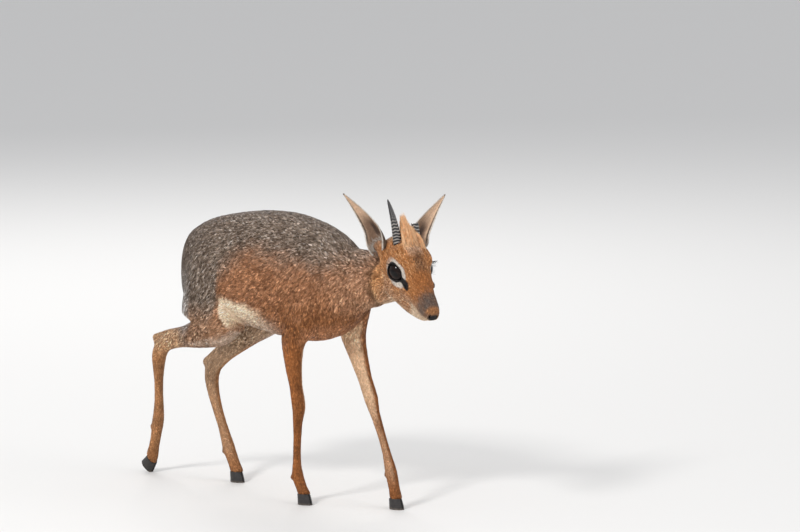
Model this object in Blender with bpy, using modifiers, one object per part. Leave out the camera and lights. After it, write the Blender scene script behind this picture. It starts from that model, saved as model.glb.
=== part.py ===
"""A male dik-dik in mid stride, life size.

Metres. +X is ahead of the body, +Y its left side and +Z up, with the floor at Z = 0.
The flesh is one smooth body, grown from lofted muscles and limbs and parted with thin cuts.
Horns, ears, eyes and hooves are pieces of their own, set into it.
"""

import math
import random

import bmesh
import bpy
from mathutils import Matrix, Vector

GAP = 0.00035
VOXEL = 0.0019
FLESH_TRIANGLES = 6350
SEED = 11

# Head frame: ahead along the nose, to its left, and up from the brow. Its origin lies between the eyes.
HEAD_AT = Vector((0.2963, 0.005, 0.349))
HEAD_YAW = math.radians(-23.0)
HEAD_PITCH = math.radians(24.0)

EYE_RADIUS = 0.0148
EYE_AT = Vector((-0.0055, 0.0180, -0.0014))
EYE_AXIS = Vector((0.58, 0.81, 0.10))
LID_THICKNESS = 0.0014
LID_LENGTH = 0.0276
LID_HEIGHT = 0.0220
LID_TILT = math.radians(18.0)

HORN_ROOT = Vector((-0.0340, 0.0140, 0.0290))
HORN_TIP = Vector((-0.0805, 0.0178, 0.0700))
HORN_RADIUS = 0.0064
HORN_RINGS = 7
STUMP_LENGTH = 0.023

# The face sinks in before each eye, round this place and by this much.
ORBIT_HOLLOW = Vector((0.0125, 0.0235, -0.0070))
ORBIT_REACH = 0.0085
ORBIT_DEPTH = 0.0036

# The ears are held apart: each has its own root, tip and direction that its cup faces.
EARS = {
    -1: (Vector((-0.0580, -0.0298, 0.0108)), Vector((-0.1015, -0.0775, 0.0705)),
         Vector((0.63, -0.77, -0.03))),
    1: (Vector((-0.0560, 0.0270, 0.0120)), Vector((-0.1015, 0.0815, 0.0598)),
        Vector((0.75, 0.12, 0.62))),
}
EAR_HALF_WIDTH = 0.0146
EAR_THICKNESS = 0.0015

CLAW_LENGTH = 0.0215
CLAW_HALF_WIDTH = 0.0070
CLAW_HEIGHT = 0.0155
CLEFT = 0.0012

# Trunk, coat included: distance ahead, top, bottom, half width and height of the widest line.
TRUNK = (
    (-0.150, 0.331, 0.290, 0.006, 0.314),
    (-0.145, 0.347, 0.270, 0.013, 0.310),
    (-0.135, 0.363, 0.260, 0.023, 0.308),
    (-0.118, 0.377, 0.253, 0.035, 0.306),
    (-0.083, 0.393, 0.248, 0.053, 0.308),
    (-0.040, 0.403, 0.245, 0.061, 0.312),
    (0.010, 0.411, 0.239, 0.064, 0.312),
    (0.060, 0.413, 0.233, 0.064, 0.310),
    (0.105, 0.407, 0.230, 0.059, 0.306),
    (0.145, 0.396, 0.237, 0.052, 0.308),
    (0.175, 0.380, 0.253, 0.042, 0.312),
    (0.198, 0.360, 0.276, 0.029, 0.316),
    (0.208, 0.340, 0.296, 0.012, 0.318),
)

# Skull with the long soft snout, in the head frame, given as the trunk is.
SKULL = (
    (-0.0740, 0.0040, -0.0220, 0.0100, -0.008),
    (-0.0690, 0.0140, -0.0340, 0.0190, -0.008),
    (-0.0600, 0.0225, -0.0420, 0.0258, -0.006),
    (-0.0460, 0.0285, -0.0450, 0.0288, -0.005),
    (-0.0320, 0.0325, -0.0460, 0.0298, -0.004),
    (-0.0180, 0.0345, -0.0460, 0.0292, -0.003),
    (-0.0040, 0.0325, -0.0430, 0.0272, -0.003),
    (0.0100, 0.0258, -0.0410, 0.0240, -0.006),
    (0.0250, 0.0175, -0.0380, 0.0208, -0.010),
    (0.0400, 0.0090, -0.0355, 0.0172, -0.0135),
    (0.0550, 0.0030, -0.0340, 0.0144, -0.0160),
    (0.0680, -0.0015, -0.0332, 0.0132, -0.0180),
    (0.0780, -0.0055, -0.0322, 0.0124, -0.0192),
    (0.0855, -0.0105, -0.0296, 0.0098, -0.0202),
    (0.0895, -0.0160, -0.0245, 0.0042, -0.0204),
)
JAW = (
    (-0.0440, -0.020, -0.0450, 0.0110, -0.034),
    (-0.0340, -0.016, -0.0550, 0.0205, -0.036),
    (-0.0160, -0.014, -0.0575, 0.0235, -0.037),
    (0.0040, -0.014, -0.0555, 0.0215, -0.036),
    (0.0240, -0.016, -0.0540, 0.0172, -0.036),
    (0.0440, -0.020, -0.0495, 0.0128, -0.036),
    (0.0580, -0.024, -0.0450, 0.0100, -0.036),
    (0.0670, -0.028, -0.0412, 0.0080, -0.0350),
    (0.0712, -0.031, -0.0378, 0.0036, -0.0342),
)

# Neck: centre, half width across and half height.
NECK = (
    (0.135, 0.000, 0.320, 0.044, 0.063),
    (0.170, 0.002, 0.322, 0.038, 0.054),
    (0.200, 0.010, 0.327, 0.033, 0.044),
    (0.228, 0.020, 0.330, 0.029, 0.0365),
    (0.252, 0.022, 0.334, 0.026, 0.032),
    (0.272, 0.018, 0.338, 0.021, 0.027),
)
TAIL = (
    (-0.126, 0.002, 0.347, 0.0100, 0.0085),
    (-0.140, 0.003, 0.339, 0.0090, 0.0065),
    (-0.1475, 0.004, 0.326, 0.0080, 0.0056),
    (-0.1505, 0.005, 0.309, 0.0066, 0.0046),
    (-0.1500, 0.006, 0.294, 0.0035, 0.0028),
)

# Limbs, from the root to the coronet: centre, half width across and half width fore and aft.
FORE_RIGHT = (
    (0.143, -0.026, 0.318, 0.024, 0.034),
    (0.133, -0.034, 0.288, 0.022, 0.034),
    (0.120, -0.040, 0.260, 0.0185, 0.027),
    (0.110, -0.0425, 0.236, 0.0158, 0.0205),
    (0.109, -0.042, 0.205, 0.0125, 0.0145),
    (0.111, -0.039, 0.172, 0.0096, 0.0105),
    (0.113, -0.037, 0.152, 0.0102, 0.0108),
    (0.114, -0.036, 0.138, 0.0098, 0.0102),
    (0.112, -0.036, 0.120, 0.0076, 0.0076),
    (0.110, -0.035, 0.094, 0.0062, 0.0064),
    (0.108, -0.034, 0.062, 0.0062, 0.0066),
    (0.108, -0.033, 0.044, 0.0080, 0.0086),
    (0.111, -0.033, 0.034, 0.0084, 0.0088),
    (0.117, -0.033, 0.022, 0.0082, 0.0082),
    (0.122, -0.033, 0.0135, 0.0094, 0.0094),
    (0.126, -0.033, 0.006, 0.0090, 0.0090),
)
FORE_LEFT = (
    (0.158, 0.026, 0.318, 0.024, 0.034),
    (0.152, 0.034, 0.288, 0.022, 0.034),
    (0.147, 0.040, 0.260, 0.0185, 0.027),
    (0.149, 0.041, 0.236, 0.0160, 0.0205),
    (0.160, 0.040, 0.208, 0.0130, 0.0150),
    (0.174, 0.037, 0.181, 0.0102, 0.0112),
    (0.184, 0.035, 0.163, 0.0104, 0.0110),
    (0.190, 0.034, 0.151, 0.0100, 0.0106),
    (0.197, 0.033, 0.134, 0.0078, 0.0080),
    (0.2095, 0.032, 0.108, 0.0064, 0.0066),
    (0.2225, 0.031, 0.078, 0.0064, 0.0068),
    (0.2295, 0.030, 0.060, 0.0082, 0.0088),
    (0.2340, 0.030, 0.046, 0.0086, 0.0090),
    (0.2385, 0.030, 0.028, 0.0082, 0.0084),
    (0.2420, 0.030, 0.0135, 0.0096, 0.0096),
    (0.2440, 0.030, 0.006, 0.0090, 0.0090),
)
THIGH_RIGHT = (
    (-0.076, -0.020, 0.352, 0.024, 0.036),
    (-0.068, -0.028, 0.322, 0.028, 0.046),
    (-0.061, -0.034, 0.290, 0.028, 0.053),
    (-0.060, -0.040, 0.262, 0.024, 0.053),
    (-0.068, -0.044, 0.239, 0.017, 0.048),
)
THIGH_LEFT = (
    (-0.082, 0.020, 0.352, 0.024, 0.038),
    (-0.070, 0.028, 0.322, 0.028, 0.048),
    (-0.056, 0.034, 0.292, 0.028, 0.052),
    (-0.044, 0.040, 0.266, 0.024, 0.048),
    (-0.038, 0.044, 0.244, 0.017, 0.038),
)
HIND_RIGHT = (
    (-0.008, -0.043, 0.262, 0.018, 0.026),
    (-0.034, -0.046, 0.242, 0.021, 0.029),
    (-0.072, -0.046, 0.2285, 0.0185, 0.0225),
    (-0.105, -0.044, 0.2195, 0.0140, 0.0165),
    (-0.134, -0.042, 0.2105, 0.0110, 0.0128),
    (-0.154, -0.040, 0.202, 0.0102, 0.0122),
    (-0.165, -0.039, 0.188, 0.0102, 0.0126),
    (-0.170, -0.036, 0.168, 0.0086, 0.0100),
    (-0.177, -0.029, 0.144, 0.0068, 0.0076),
    (-0.188, -0.018, 0.113, 0.0068, 0.0080),
    (-0.199, -0.008, 0.090, 0.0084, 0.0092),
    (-0.206, -0.003, 0.077, 0.0088, 0.0098),
    (-0.212, 0.000, 0.060, 0.0080, 0.0084),
    (-0.219, 0.002, 0.040, 0.0080, 0.0082),
    (-0.2245, 0.003, 0.0240, 0.0094, 0.0096),
    (-0.2280, 0.003, 0.0130, 0.0088, 0.0090),
)
HIND_LEFT = (
    (0.000, 0.043, 0.272, 0.018, 0.028),
    (-0.024, 0.046, 0.249, 0.021, 0.028),
    (-0.054, 0.046, 0.226, 0.0180, 0.0215),
    (-0.085, 0.045, 0.203, 0.0138, 0.0155),
    (-0.112, 0.044, 0.183, 0.0108, 0.0122),
    (-0.131, 0.043, 0.167, 0.0102, 0.0124),
    (-0.138, 0.042, 0.152, 0.0102, 0.0126),
    (-0.135, 0.040, 0.133, 0.0090, 0.0106),
    (-0.1245, 0.038, 0.106, 0.0074, 0.0086),
    (-0.1095, 0.036, 0.076, 0.0072, 0.0080),
    (-0.0990, 0.034, 0.055, 0.0086, 0.0095),
    (-0.0930, 0.033, 0.044, 0.0090, 0.0100),
    (-0.0850, 0.032, 0.030, 0.0084, 0.0090),
    (-0.0760, 0.031, 0.0135, 0.0096, 0.0098),
    (-0.0720, 0.031, 0.006, 0.0090, 0.0090),
)

# Each foot: name, middle of the coronet, and how far the toe is tilted down from level.
FEET = (
    ("fore_right", Vector((0.1205, -0.033, CLAW_HEIGHT)), 0.0),
    ("fore_left", Vector((0.2405, 0.030, CLAW_HEIGHT)), 0.0),
    ("hind_left", Vector((-0.0780, 0.031, CLAW_HEIGHT)), 0.0),
    ("hind_right", Vector((-0.2240, 0.003, 0.0205)), math.radians(52.0)),
)

FUR_RED = (0.42, 0.20, 0.085)
FUR_GREY = (0.27, 0.22, 0.18)
FUR_PALE = (0.62, 0.50, 0.38)
HORN_BLACK = (0.035, 0.032, 0.032)


def head_matrix():
    ahead = Vector((
        math.cos(HEAD_PITCH) * math.cos(HEAD_YAW),
        math.cos(HEAD_PITCH) * math.sin(HEAD_YAW),
        -math.sin(HEAD_PITCH),
    ))
    left = Vector((-math.sin(HEAD_YAW), math.cos(HEAD_YAW), 0.0))
    turn = Matrix((ahead, left, ahead.cross(left))).transposed()
    return Matrix.Translation(HEAD_AT) @ turn.to_4x4()


HEAD = head_matrix()


def mirrored(point, side):
    """A point or direction of the head frame, given for its left, on the side asked for."""
    return Vector((point.x, point.y * side, point.z))


def clear_scene():
    for thing in list(bpy.data.objects):
        bpy.data.objects.remove(thing)


def collection(name, hidden=False):
    made = bpy.data.collections.new(name)
    bpy.context.scene.collection.children.link(made)
    made.hide_render = hidden
    return made


def finish(colour, name, roughness=0.85):
    material = bpy.data.materials.new(name)
    material.use_nodes = True
    shader = material.node_tree.nodes["Principled BSDF"]
    shader.inputs["Base Color"].default_value = (*colour, 1.0)
    shader.inputs["Roughness"].default_value = roughness
    return material


def through(stations, per_span):
    """Stations read from a smooth curve through the given ones."""
    rows = []
    last = len(stations) - 1
    for i in range(last):
        before, here = stations[max(i - 1, 0)], stations[i]
        there, after = stations[i + 1], stations[min(i + 2, last)]
        for k in range(per_span):
            t = k / per_span
            rows.append(tuple(
                0.5 * (2 * b + (c - a) * t + (2 * a - 5 * b + 4 * c - d) * t * t
                       + (3 * b - a - 3 * c + d) * t ** 3)
                for a, b, c, d in zip(before, here, there, after)
            ))
    return rows + [tuple(stations[last])]


def loft(name, rings, home, matrix=None):
    """A closed skin over rings of equal count, which run from one end to the other."""
    mesh = bmesh.new()
    loops = [[mesh.verts.new(point) for point in ring] for ring in rings]
    count = len(loops[0])
    for first, second in zip(loops, loops[1:]):
        for k in range(count):
            mesh.faces.new((first[k], first[(k + 1) % count], second[(k + 1) % count], second[k]))
    mesh.faces.new(loops[0][::-1])
    mesh.faces.new(loops[-1])
    bmesh.ops.recalc_face_normals(mesh, faces=mesh.faces[:])
    return object_of(mesh, name, home, matrix)


def object_of(mesh, name, home, matrix=None):
    data = bpy.data.meshes.new(name)
    if matrix:
        mesh.transform(matrix)
    mesh.to_mesh(data)
    mesh.free()
    made = bpy.data.objects.new(name, data)
    home.objects.link(made)
    return made


def barrel(name, stations, home, matrix=None, sides=24, squareness=2.2):
    """A loft of upright ovals along X, each with its own top, bottom and widest line."""
    rings = []
    for x, top, bottom, half_width, widest in through(stations, 3):
        ring = []
        for k in range(sides):
            turn = 2 * math.pi * k / sides
            c, s = math.cos(turn), math.sin(turn)
            out = math.copysign(abs(c) ** (2 / squareness), c)
            rise = math.copysign(abs(s) ** (2 / squareness), s)
            height = (top - widest) if s > 0 else (widest - bottom)
            ring.append(Vector((x, half_width * out, widest + height * rise)))
        rings.append(ring)
    return loft(name, rings, home, matrix)


def limb(name, stations, home, matrix=None, sides=16, per_span=3):
    """A loft of ovals square to the line through their centres."""
    rows = through(stations, per_span)
    centres = [Vector(row[:3]) for row in rows]
    rings = []
    for i, row in enumerate(rows):
        along = (centres[min(i + 1, len(rows) - 1)] - centres[max(i - 1, 0)]).normalized()
        across = (Vector((0, 1, 0)) - along * along.y).normalized()
        ahead = across.cross(along)
        rings.append([
            centres[i]
            + across * row[3] * math.cos(2 * math.pi * k / sides)
            + ahead * row[4] * math.sin(2 * math.pi * k / sides)
            for k in range(sides)
        ])
    return loft(name, rings, home, matrix)


def ball(name, centre, radii, home, matrix=None, segments=22, rings=13):
    mesh = bmesh.new()
    bmesh.ops.create_uvsphere(mesh, u_segments=segments, v_segments=rings, radius=1.0)
    mesh.transform(Matrix.Translation(centre) @ Matrix.Diagonal((*radii, 1.0)))
    return object_of(mesh, name, home, matrix)


def apply_modifiers(thing):
    graph = bpy.context.evaluated_depsgraph_get()
    data = bpy.data.meshes.new_from_object(thing.evaluated_get(graph))
    thing.modifiers.clear()
    thing.data = data


def modifier(thing, kind, **settings):
    made = thing.modifiers.new(kind.lower(), kind)
    for key, value in settings.items():
        setattr(made, key, value)
    return made


def empty_collection(home):
    for thing in list(home.objects):
        bpy.data.objects.remove(thing)


def pieces_of(thing):
    """The closed surfaces of a mesh, largest first, each as a set of its vertices' indices."""
    mesh = bmesh.new()
    mesh.from_mesh(thing.data)
    mesh.verts.ensure_lookup_table()
    seen, found = set(), []
    for start in mesh.verts:
        if start.index in seen:
            continue
        group, stack = set(), [start]
        seen.add(start.index)
        while stack:
            vertex = stack.pop()
            group.add(vertex.index)
            for edge in vertex.link_edges:
                other = edge.other_vert(vertex)
                if other.index not in seen:
                    seen.add(other.index)
                    stack.append(other)
        found.append(group)
    mesh.free()
    return sorted(found, key=len, reverse=True)


def keep_only(thing, group):
    mesh = bmesh.new()
    mesh.from_mesh(thing.data)
    mesh.verts.ensure_lookup_table()
    dropped = [vertex for vertex in mesh.verts if vertex.index not in group]
    bmesh.ops.delete(mesh, geom=dropped, context="VERTS")
    mesh.to_mesh(thing.data)
    mesh.free()


def keep_largest(thing):
    def volume(group):
        points = [thing.data.vertices[i].co for i in group]
        spans = [max(p[k] for p in points) - min(p[k] for p in points) for k in range(3)]
        return spans[0] * spans[1] * spans[2]

    keep_only(thing, max(pieces_of(thing), key=volume))


def fuse(thing, home):
    """Joins a collection of closed shapes to a node, then empties the collection."""
    modifier(thing, "BOOLEAN", operation="UNION", operand_type="COLLECTION",
             collection=home, solver="MANIFOLD")
    apply_modifiers(thing)
    empty_collection(home)
    keep_largest(thing)


def carve(thing, home):
    """Cuts a collection of closed shapes out of a node, then empties the collection."""
    modifier(thing, "BOOLEAN", operation="DIFFERENCE", operand_type="COLLECTION",
             collection=home, solver="MANIFOLD")
    apply_modifiers(thing)
    empty_collection(home)


# Flesh


def leg_details(home):
    """Points of the hocks with their tendons, and the small false hooves behind each fetlock."""
    limb("hock_point_right", (
        (-0.156, -0.040, 0.193, 0.0075, 0.0085),
        (-0.168, -0.039, 0.206, 0.0066, 0.0072),
        (-0.176, -0.038, 0.215, 0.0048, 0.0048),
    ), home, sides=10)
    limb("hock_tendon_right", (
        (-0.175, -0.038, 0.213, 0.0040, 0.0038),
        (-0.145, -0.041, 0.223, 0.0042, 0.0040),
        (-0.105, -0.044, 0.231, 0.0060, 0.0060),
    ), home, sides=10)
    limb("hock_point_left", (
        (-0.132, 0.043, 0.155, 0.0075, 0.0085),
        (-0.145, 0.042, 0.164, 0.0066, 0.0072),
        (-0.154, 0.042, 0.171, 0.0048, 0.0048),
    ), home, sides=10)
    limb("hock_tendon_left", (
        (-0.153, 0.042, 0.170, 0.0040, 0.0038),
        (-0.130, 0.043, 0.188, 0.0042, 0.0040),
        (-0.095, 0.044, 0.210, 0.0060, 0.0060),
    ), home, sides=10)
    for x, y, z in ((0.1000, -0.033, 0.0375), (0.2245, 0.030, 0.0480),
                    (-0.1025, 0.033, 0.0420), (-0.2170, -0.0010, 0.0710)):
        for side in (-1, 1):
            ball("false_hoof", Vector((x, y + side * 0.0046, z)),
                 (0.0034, 0.0026, 0.0042), home, segments=10, rings=8)


def head_details(home):
    """Swellings of the head: cheeks, glands before the eyes, lips and the roots of the ears."""
    for side in (-1, 1):
        ball("cheek", Vector((-0.010, side * 0.0185, -0.030)), (0.030, 0.0085, 0.019), home, HEAD)
        ball("gland_swelling", Vector((0.028, side * 0.0150, -0.0045)),
             (0.012, 0.0056, 0.0085), home, HEAD)
        ball("brow", Vector((-0.012, side * 0.0180, 0.0158)), (0.025, 0.0112, 0.0125), home, HEAD)
        ball("upper_lip", Vector((0.0700, side * 0.0064, -0.0266)),
             (0.0165, 0.0078, 0.0060), home, HEAD)
        root, tip, opening = EARS[side]
        along = (tip - root).normalized()
        back = (opening - along * opening.dot(along)).normalized() * -0.0030
        stations = [(*(root + back + along * reach), radius, radius) for reach, radius in
                    ((-0.016, 0.0142), (-0.008, 0.0124), (-0.001, 0.0092), (0.004, 0.0050))]
        limb("ear_root", stations, home, HEAD, sides=14)


def hollow_orbits(body):
    """Sinks the face in before the eyes."""
    for side in (-1, 1):
        middle = HEAD @ mirrored(ORBIT_HOLLOW, side)
        shifts = []
        for vertex in body.data.vertices:
            gap = (vertex.co - middle).length / ORBIT_REACH
            if gap < 3.0:
                shifts.append((vertex.index, vertex.normal * (ORBIT_DEPTH * math.exp(-gap * gap))))
        for index, shift in shifts:
            body.data.vertices[index].co -= shift


def flesh(home):
    """All the soft parts as one smooth closed body."""
    barrel("trunk", TRUNK, home, squareness=2.25)
    barrel("skull", SKULL, home, HEAD, squareness=2.5)
    barrel("jaw", JAW, home, HEAD)
    limb("neck", NECK, home, sides=24)
    for name, stations in (("fore_right", FORE_RIGHT), ("fore_left", FORE_LEFT),
                           ("thigh_right", THIGH_RIGHT), ("thigh_left", THIGH_LEFT),
                           ("hind_right", HIND_RIGHT), ("hind_left", HIND_LEFT)):
        limb(name, stations, home)
    leg_details(home)
    head_details(home)
    mesh = bmesh.new()
    for thing in home.objects:
        mesh.from_mesh(thing.data)
    empty_collection(home)
    body = object_of(mesh, "body", home)
    modifier(body, "REMESH", mode="VOXEL", voxel_size=VOXEL)
    modifier(body, "CORRECTIVE_SMOOTH", factor=0.6, iterations=14, smooth_type="LENGTH_WEIGHTED",
             use_only_smooth=True)
    apply_modifiers(body)
    hollow_orbits(body)
    share = FLESH_TRIANGLES / (2 * len(body.data.polygons))
    modifier(body, "DECIMATE", ratio=share, use_collapse_triangulate=True)
    apply_modifiers(body)
    return body


# Thin cuts that part the flesh


def sheet(name, points, low, high, home, matrix):
    """A thin bent plate: a line of points in XZ, drawn out along Y."""
    mesh = bmesh.new()
    rows = [[mesh.verts.new((x, y, z)) for x, z in points] for y in (low, high)]
    for k in range(len(points) - 1):
        mesh.faces.new((rows[0][k], rows[0][k + 1], rows[1][k + 1], rows[1][k]))
    plate = object_of(mesh, name, home, matrix)
    modifier(plate, "SOLIDIFY", thickness=GAP, offset=0.0, use_even_offset=True)
    apply_modifiers(plate)


def disc(name, centre, ahead, radius, home):
    mesh = bmesh.new()
    bmesh.ops.create_cone(mesh, cap_ends=True, segments=24, radius1=radius, radius2=radius,
                          depth=GAP)
    turn = Vector((0, 0, 1)).rotation_difference(ahead.normalized()).to_matrix().to_4x4()
    return object_of(mesh, name, home, Matrix.Translation(centre) @ turn)


def parting_cuts(home):
    disc("head_cut", Vector((0.229, 0.022, 0.335)), Vector((0.92, 0.05, 0.13)), 0.070, home)
    disc("neck_cut", Vector((0.188, 0.006, 0.329)), Vector((0.95, 0.22, 0.20)), 0.085, home)
    disc("fore_cut", Vector((0.109, -0.042, 0.2255)), Vector((0.0, 0.0, 1.0)), 0.030, home)
    disc("fore_cut", Vector((0.153, 0.041, 0.2255)), Vector((0.0, 0.0, 1.0)), 0.032, home)
    disc("hind_cut", Vector((-0.118, -0.043, 0.2180)), Vector((0.94, 0.0, 0.30)), 0.021, home)
    disc("hind_cut", Vector((-0.096, 0.0445, 0.1945)), Vector((0.80, 0.0, 0.60)), 0.024, home)


# Cutters for the head's features


def almond(name, side, home):
    """A lens-shaped prism that opens the lids in front of the eye."""
    axis = mirrored(EYE_AXIS, side).normalized()
    ahead = Vector((math.cos(LID_TILT), 0.0, -math.sin(LID_TILT)))
    ahead = (ahead - axis * ahead.dot(axis)).normalized()
    up = axis.cross(ahead)
    up = up if up.z > 0 else -up
    eye = mirrored(EYE_AT, side)
    outline = []
    steps = 28
    for k in range(steps):
        turn = 2 * math.pi * k / steps
        c, s = math.cos(turn), math.sin(turn)
        height = LID_HEIGHT / 2 * s * (1 - 0.34 * abs(c) ** 3)
        outline.append(ahead * (LID_LENGTH / 2 * c) + up * height)
    rings = [
        [eye + axis * (EYE_RADIUS * depth) + point * spread for point in outline]
        for depth, spread in ((0.10, 0.9), (0.75, 1.0), (1.9, 1.25))
    ]
    return loft(name, rings, home, HEAD)


def head_cutters(home):
    for side in (-1, 1):
        almond("lid_cut", side, home)
        radius = EYE_RADIUS + GAP
        ball("socket", mirrored(EYE_AT, side), (radius, radius, radius), home, HEAD,
             segments=24, rings=14)
        ball("gland_pit", Vector((0.0305, side * 0.0215, -0.0060)), (0.0046, 0.0040, 0.0034),
             home, HEAD, segments=14, rings=8)
        ball("nostril", Vector((0.0876, side * 0.0054, -0.0210)), (0.0044, 0.0019, 0.0030),
             home, HEAD, segments=12, rings=8)
    line = ((0.0430, -0.0350), (0.0520, -0.0342), (0.0600, -0.0328), (0.0700, -0.0310),
            (0.0860, -0.0296))
    sheet("mouth_cut", line, -0.030, 0.030, home, HEAD)


def lids(home):
    """Round lids over the eyes, to be opened by their almonds."""
    for side in (-1, 1):
        radius = EYE_RADIUS + LID_THICKNESS
        ball("lid_ball", mirrored(EYE_AT, side), (radius, radius, radius), home, HEAD,
             segments=22, rings=14)


# Crest


def crest(home):
    """The tuft of the brow: flat tapered locks that rise between the horns and meet behind."""
    draw = random.Random(SEED)
    rows, across = 7, 6
    for row in range(rows):
        share = row / (rows - 1)
        for place in range(across):
            sideways = 2 * place / (across - 1) - 1 + draw.uniform(-0.12, 0.12)
            root = Vector((
                -0.006 - 0.034 * share + draw.uniform(-0.002, 0.002),
                sideways * (0.0180 - 0.0090 * share),
                0.0325 - 0.0042 * abs(sideways) - 0.002 * share,
            ))
            tip = Vector((
                -0.028 - 0.038 * share + draw.uniform(-0.002, 0.002),
                sideways * (0.0150 - 0.0115 * share) + draw.uniform(-0.0012, 0.0012),
                0.0440 + 0.0140 * share - 0.0036 * abs(sideways) + draw.uniform(-0.002, 0.002),
            ))
            lock(f"lock_{row}_{place}", root, tip, 0.0034 * draw.uniform(0.8, 1.15), home)


def lock(name, root, tip, half_width, home):
    """One flat lock that lifts, bends back and tapers to its tip."""
    lean = (tip - root).normalized()
    across = Vector((0, 1, 0))
    across = (across - lean * across.dot(lean)).normalized()
    ahead = across.cross(lean)
    rings = []
    for share, width, flat in ((-0.20, 0.9, 1.0), (0.22, 1.0, 1.0), (0.60, 0.74, 0.8),
                               (1.0, 0.14, 0.3)):
        lift = Vector((0, 0, 0.10 * math.sin(math.pi * max(share, 0.0)))) * (tip - root).length
        centre = root + (tip - root) * share + lift
        rings.append([
            centre + across * half_width * width, centre + ahead * 0.0011 * flat,
            centre - across * half_width * width, centre - ahead * 0.0011 * flat,
        ])
    return loft(name, rings, home, HEAD)


# Horns, ears, eyes and hooves


def horn(name, side, length, broken, home):
    """A straight cone with raised rings at its foot. A broken one ends in a blunt slanted face."""
    root, tip = mirrored(HORN_ROOT, side), mirrored(HORN_TIP, side)
    full = (tip - root).length
    axis = (tip - root).normalized()
    across = Vector((0, 1, 0)).cross(axis).normalized()
    other = axis.cross(across)
    start = -0.006
    marks = [start, 0.0]
    spacing = 0.0037
    for ring in range(HORN_RINGS):
        foot = 0.0015 + ring * spacing
        marks += [foot, foot + spacing * 0.45]
    beyond = 0.0015 + HORN_RINGS * spacing
    marks += [beyond + (full - beyond) * k / 5 for k in range(6)]
    rings = []
    for mark in marks:
        if mark > length:
            break
        share = max(mark, 0.0) / full
        radius = HORN_RADIUS * (1 - share) ** 0.58 + 0.0007
        order = (mark - 0.0015) / spacing
        if 0 <= order < HORN_RINGS:
            radius *= 1.0 + (0.085 if order % 1 > 0.3 else -0.045)
        bow = across * (0.0035 * math.sin(math.pi * share))
        centre = root + axis * mark + bow
        rings.append([
            centre + across * radius * math.cos(2 * math.pi * k / 12)
            + other * radius * 0.92 * math.sin(2 * math.pi * k / 12)
            for k in range(12)
        ])
    if broken:
        rings[-1] = [point + axis * (0.0022 * math.sin(k * 1.3)) for k, point in enumerate(rings[-1])]
    return loft(name, rings, home, HEAD)


def ear(name, side, home):
    """A leaf-shaped cup: a curved sheet with thickness, rolled into a funnel at its root."""
    root, tip, facing = EARS[side]
    along = (tip - root).normalized()
    length = (tip - root).length
    opening = (facing - along * facing.dot(along)).normalized()
    across = along.cross(opening)
    rows, columns = 14, 10
    mesh = bmesh.new()
    grid = []
    for i in range(rows + 1):
        share = i / rows
        swell = 0.78 + 0.22 * math.sin(math.pi / 2 * min(share / 0.20, 1.0))
        if share > 0.20:
            swell = 1.0 - ((share - 0.20) / 0.80) ** 1.15
        half = EAR_HALF_WIDTH * swell + 0.0006
        roll = math.radians(60 + 70 * max(0.0, 1 - share / 0.34) ** 1.4)
        radius = half / math.sin(min(roll, math.pi / 2))
        rise = -0.05 + 1.05 * share
        bow = 0.0065 * math.sin(math.pi * share)
        centre = root + along * (length * rise) + opening * (radius * 0.5 - bow)
        row = []
        for j in range(columns + 1):
            turn = roll * (2 * j / columns - 1)
            spot = across * math.sin(turn) - opening * math.cos(turn)
            row.append(mesh.verts.new(centre + spot * radius))
        grid.append(row)
    for i in range(rows):
        for j in range(columns):
            mesh.faces.new((grid[i][j], grid[i][j + 1], grid[i + 1][j + 1], grid[i + 1][j]))
    bmesh.ops.triangulate(mesh, faces=mesh.faces[:])
    leaf = object_of(mesh, name, home, HEAD)
    modifier(leaf, "SOLIDIFY", thickness=EAR_THICKNESS, offset=0.0)
    apply_modifiers(leaf)
    mesh = bmesh.new()
    mesh.from_mesh(leaf.data)
    bmesh.ops.recalc_face_normals(mesh, faces=mesh.faces[:])
    mesh.to_mesh(leaf.data)
    mesh.free()
    return leaf


def claw(name, foot, side, tilt, home):
    """One half of a cloven hoof, flat inside, rounded outside and pointed ahead."""
    rings = []
    steps = 9
    for height, scale, back in ((0.0, 1.0, 0.0), (0.35, 0.97, 0.0012), (0.7, 0.88, 0.0034),
                                (1.0, 0.80, 0.0056)):
        length, width = CLAW_LENGTH * scale, CLAW_HALF_WIDTH * 1.18 * (0.9 + 0.1 * scale)
        heel = -CLAW_LENGTH * 0.5 + 0.0035
        ring = []
        for k in range(steps):
            share = k / (steps - 1)
            swell = math.sin(math.pi * (0.10 + 0.90 * share) ** 0.80) ** 0.62 if share < 1 else 0.0
            ring.append(Vector((heel - back * 0.15 + length * share,
                                side * (CLEFT / 2 + 0.0004 + max(swell, 0.12) * width),
                                height * CLAW_HEIGHT)))
        for share in (0.92, 0.5, 0.05):
            ring.append(Vector((heel - back * 0.15 + length * share, side * CLEFT / 2,
                                height * CLAW_HEIGHT)))
        rings.append(ring)
    mesh_home = loft(name, rings, home)
    pivot = Vector((-0.001, 0.0, CLAW_HEIGHT))
    place = (Matrix.Translation(foot) @ Matrix.Rotation(tilt, 4, "Y")
             @ Matrix.Translation(-pivot))
    mesh_home.data.transform(place)
    return mesh_home


def block(name, size, home, place):
    mesh = bmesh.new()
    bmesh.ops.create_cube(mesh, size=1.0)
    mesh.transform(Matrix.Diagonal((*size, 1.0)))
    return object_of(mesh, name, home, place)


def foot_cutters(home):
    """Blocks that end each leg square at its coronet, just above the claws."""
    for name, foot, tilt in FEET:
        place = (Matrix.Translation(foot) @ Matrix.Rotation(tilt, 4, "Y")
                 @ Matrix.Translation((0.0, 0.0, -0.015 + GAP)))
        block("coronet_" + name, (0.060, 0.060, 0.030), home, place)


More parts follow.
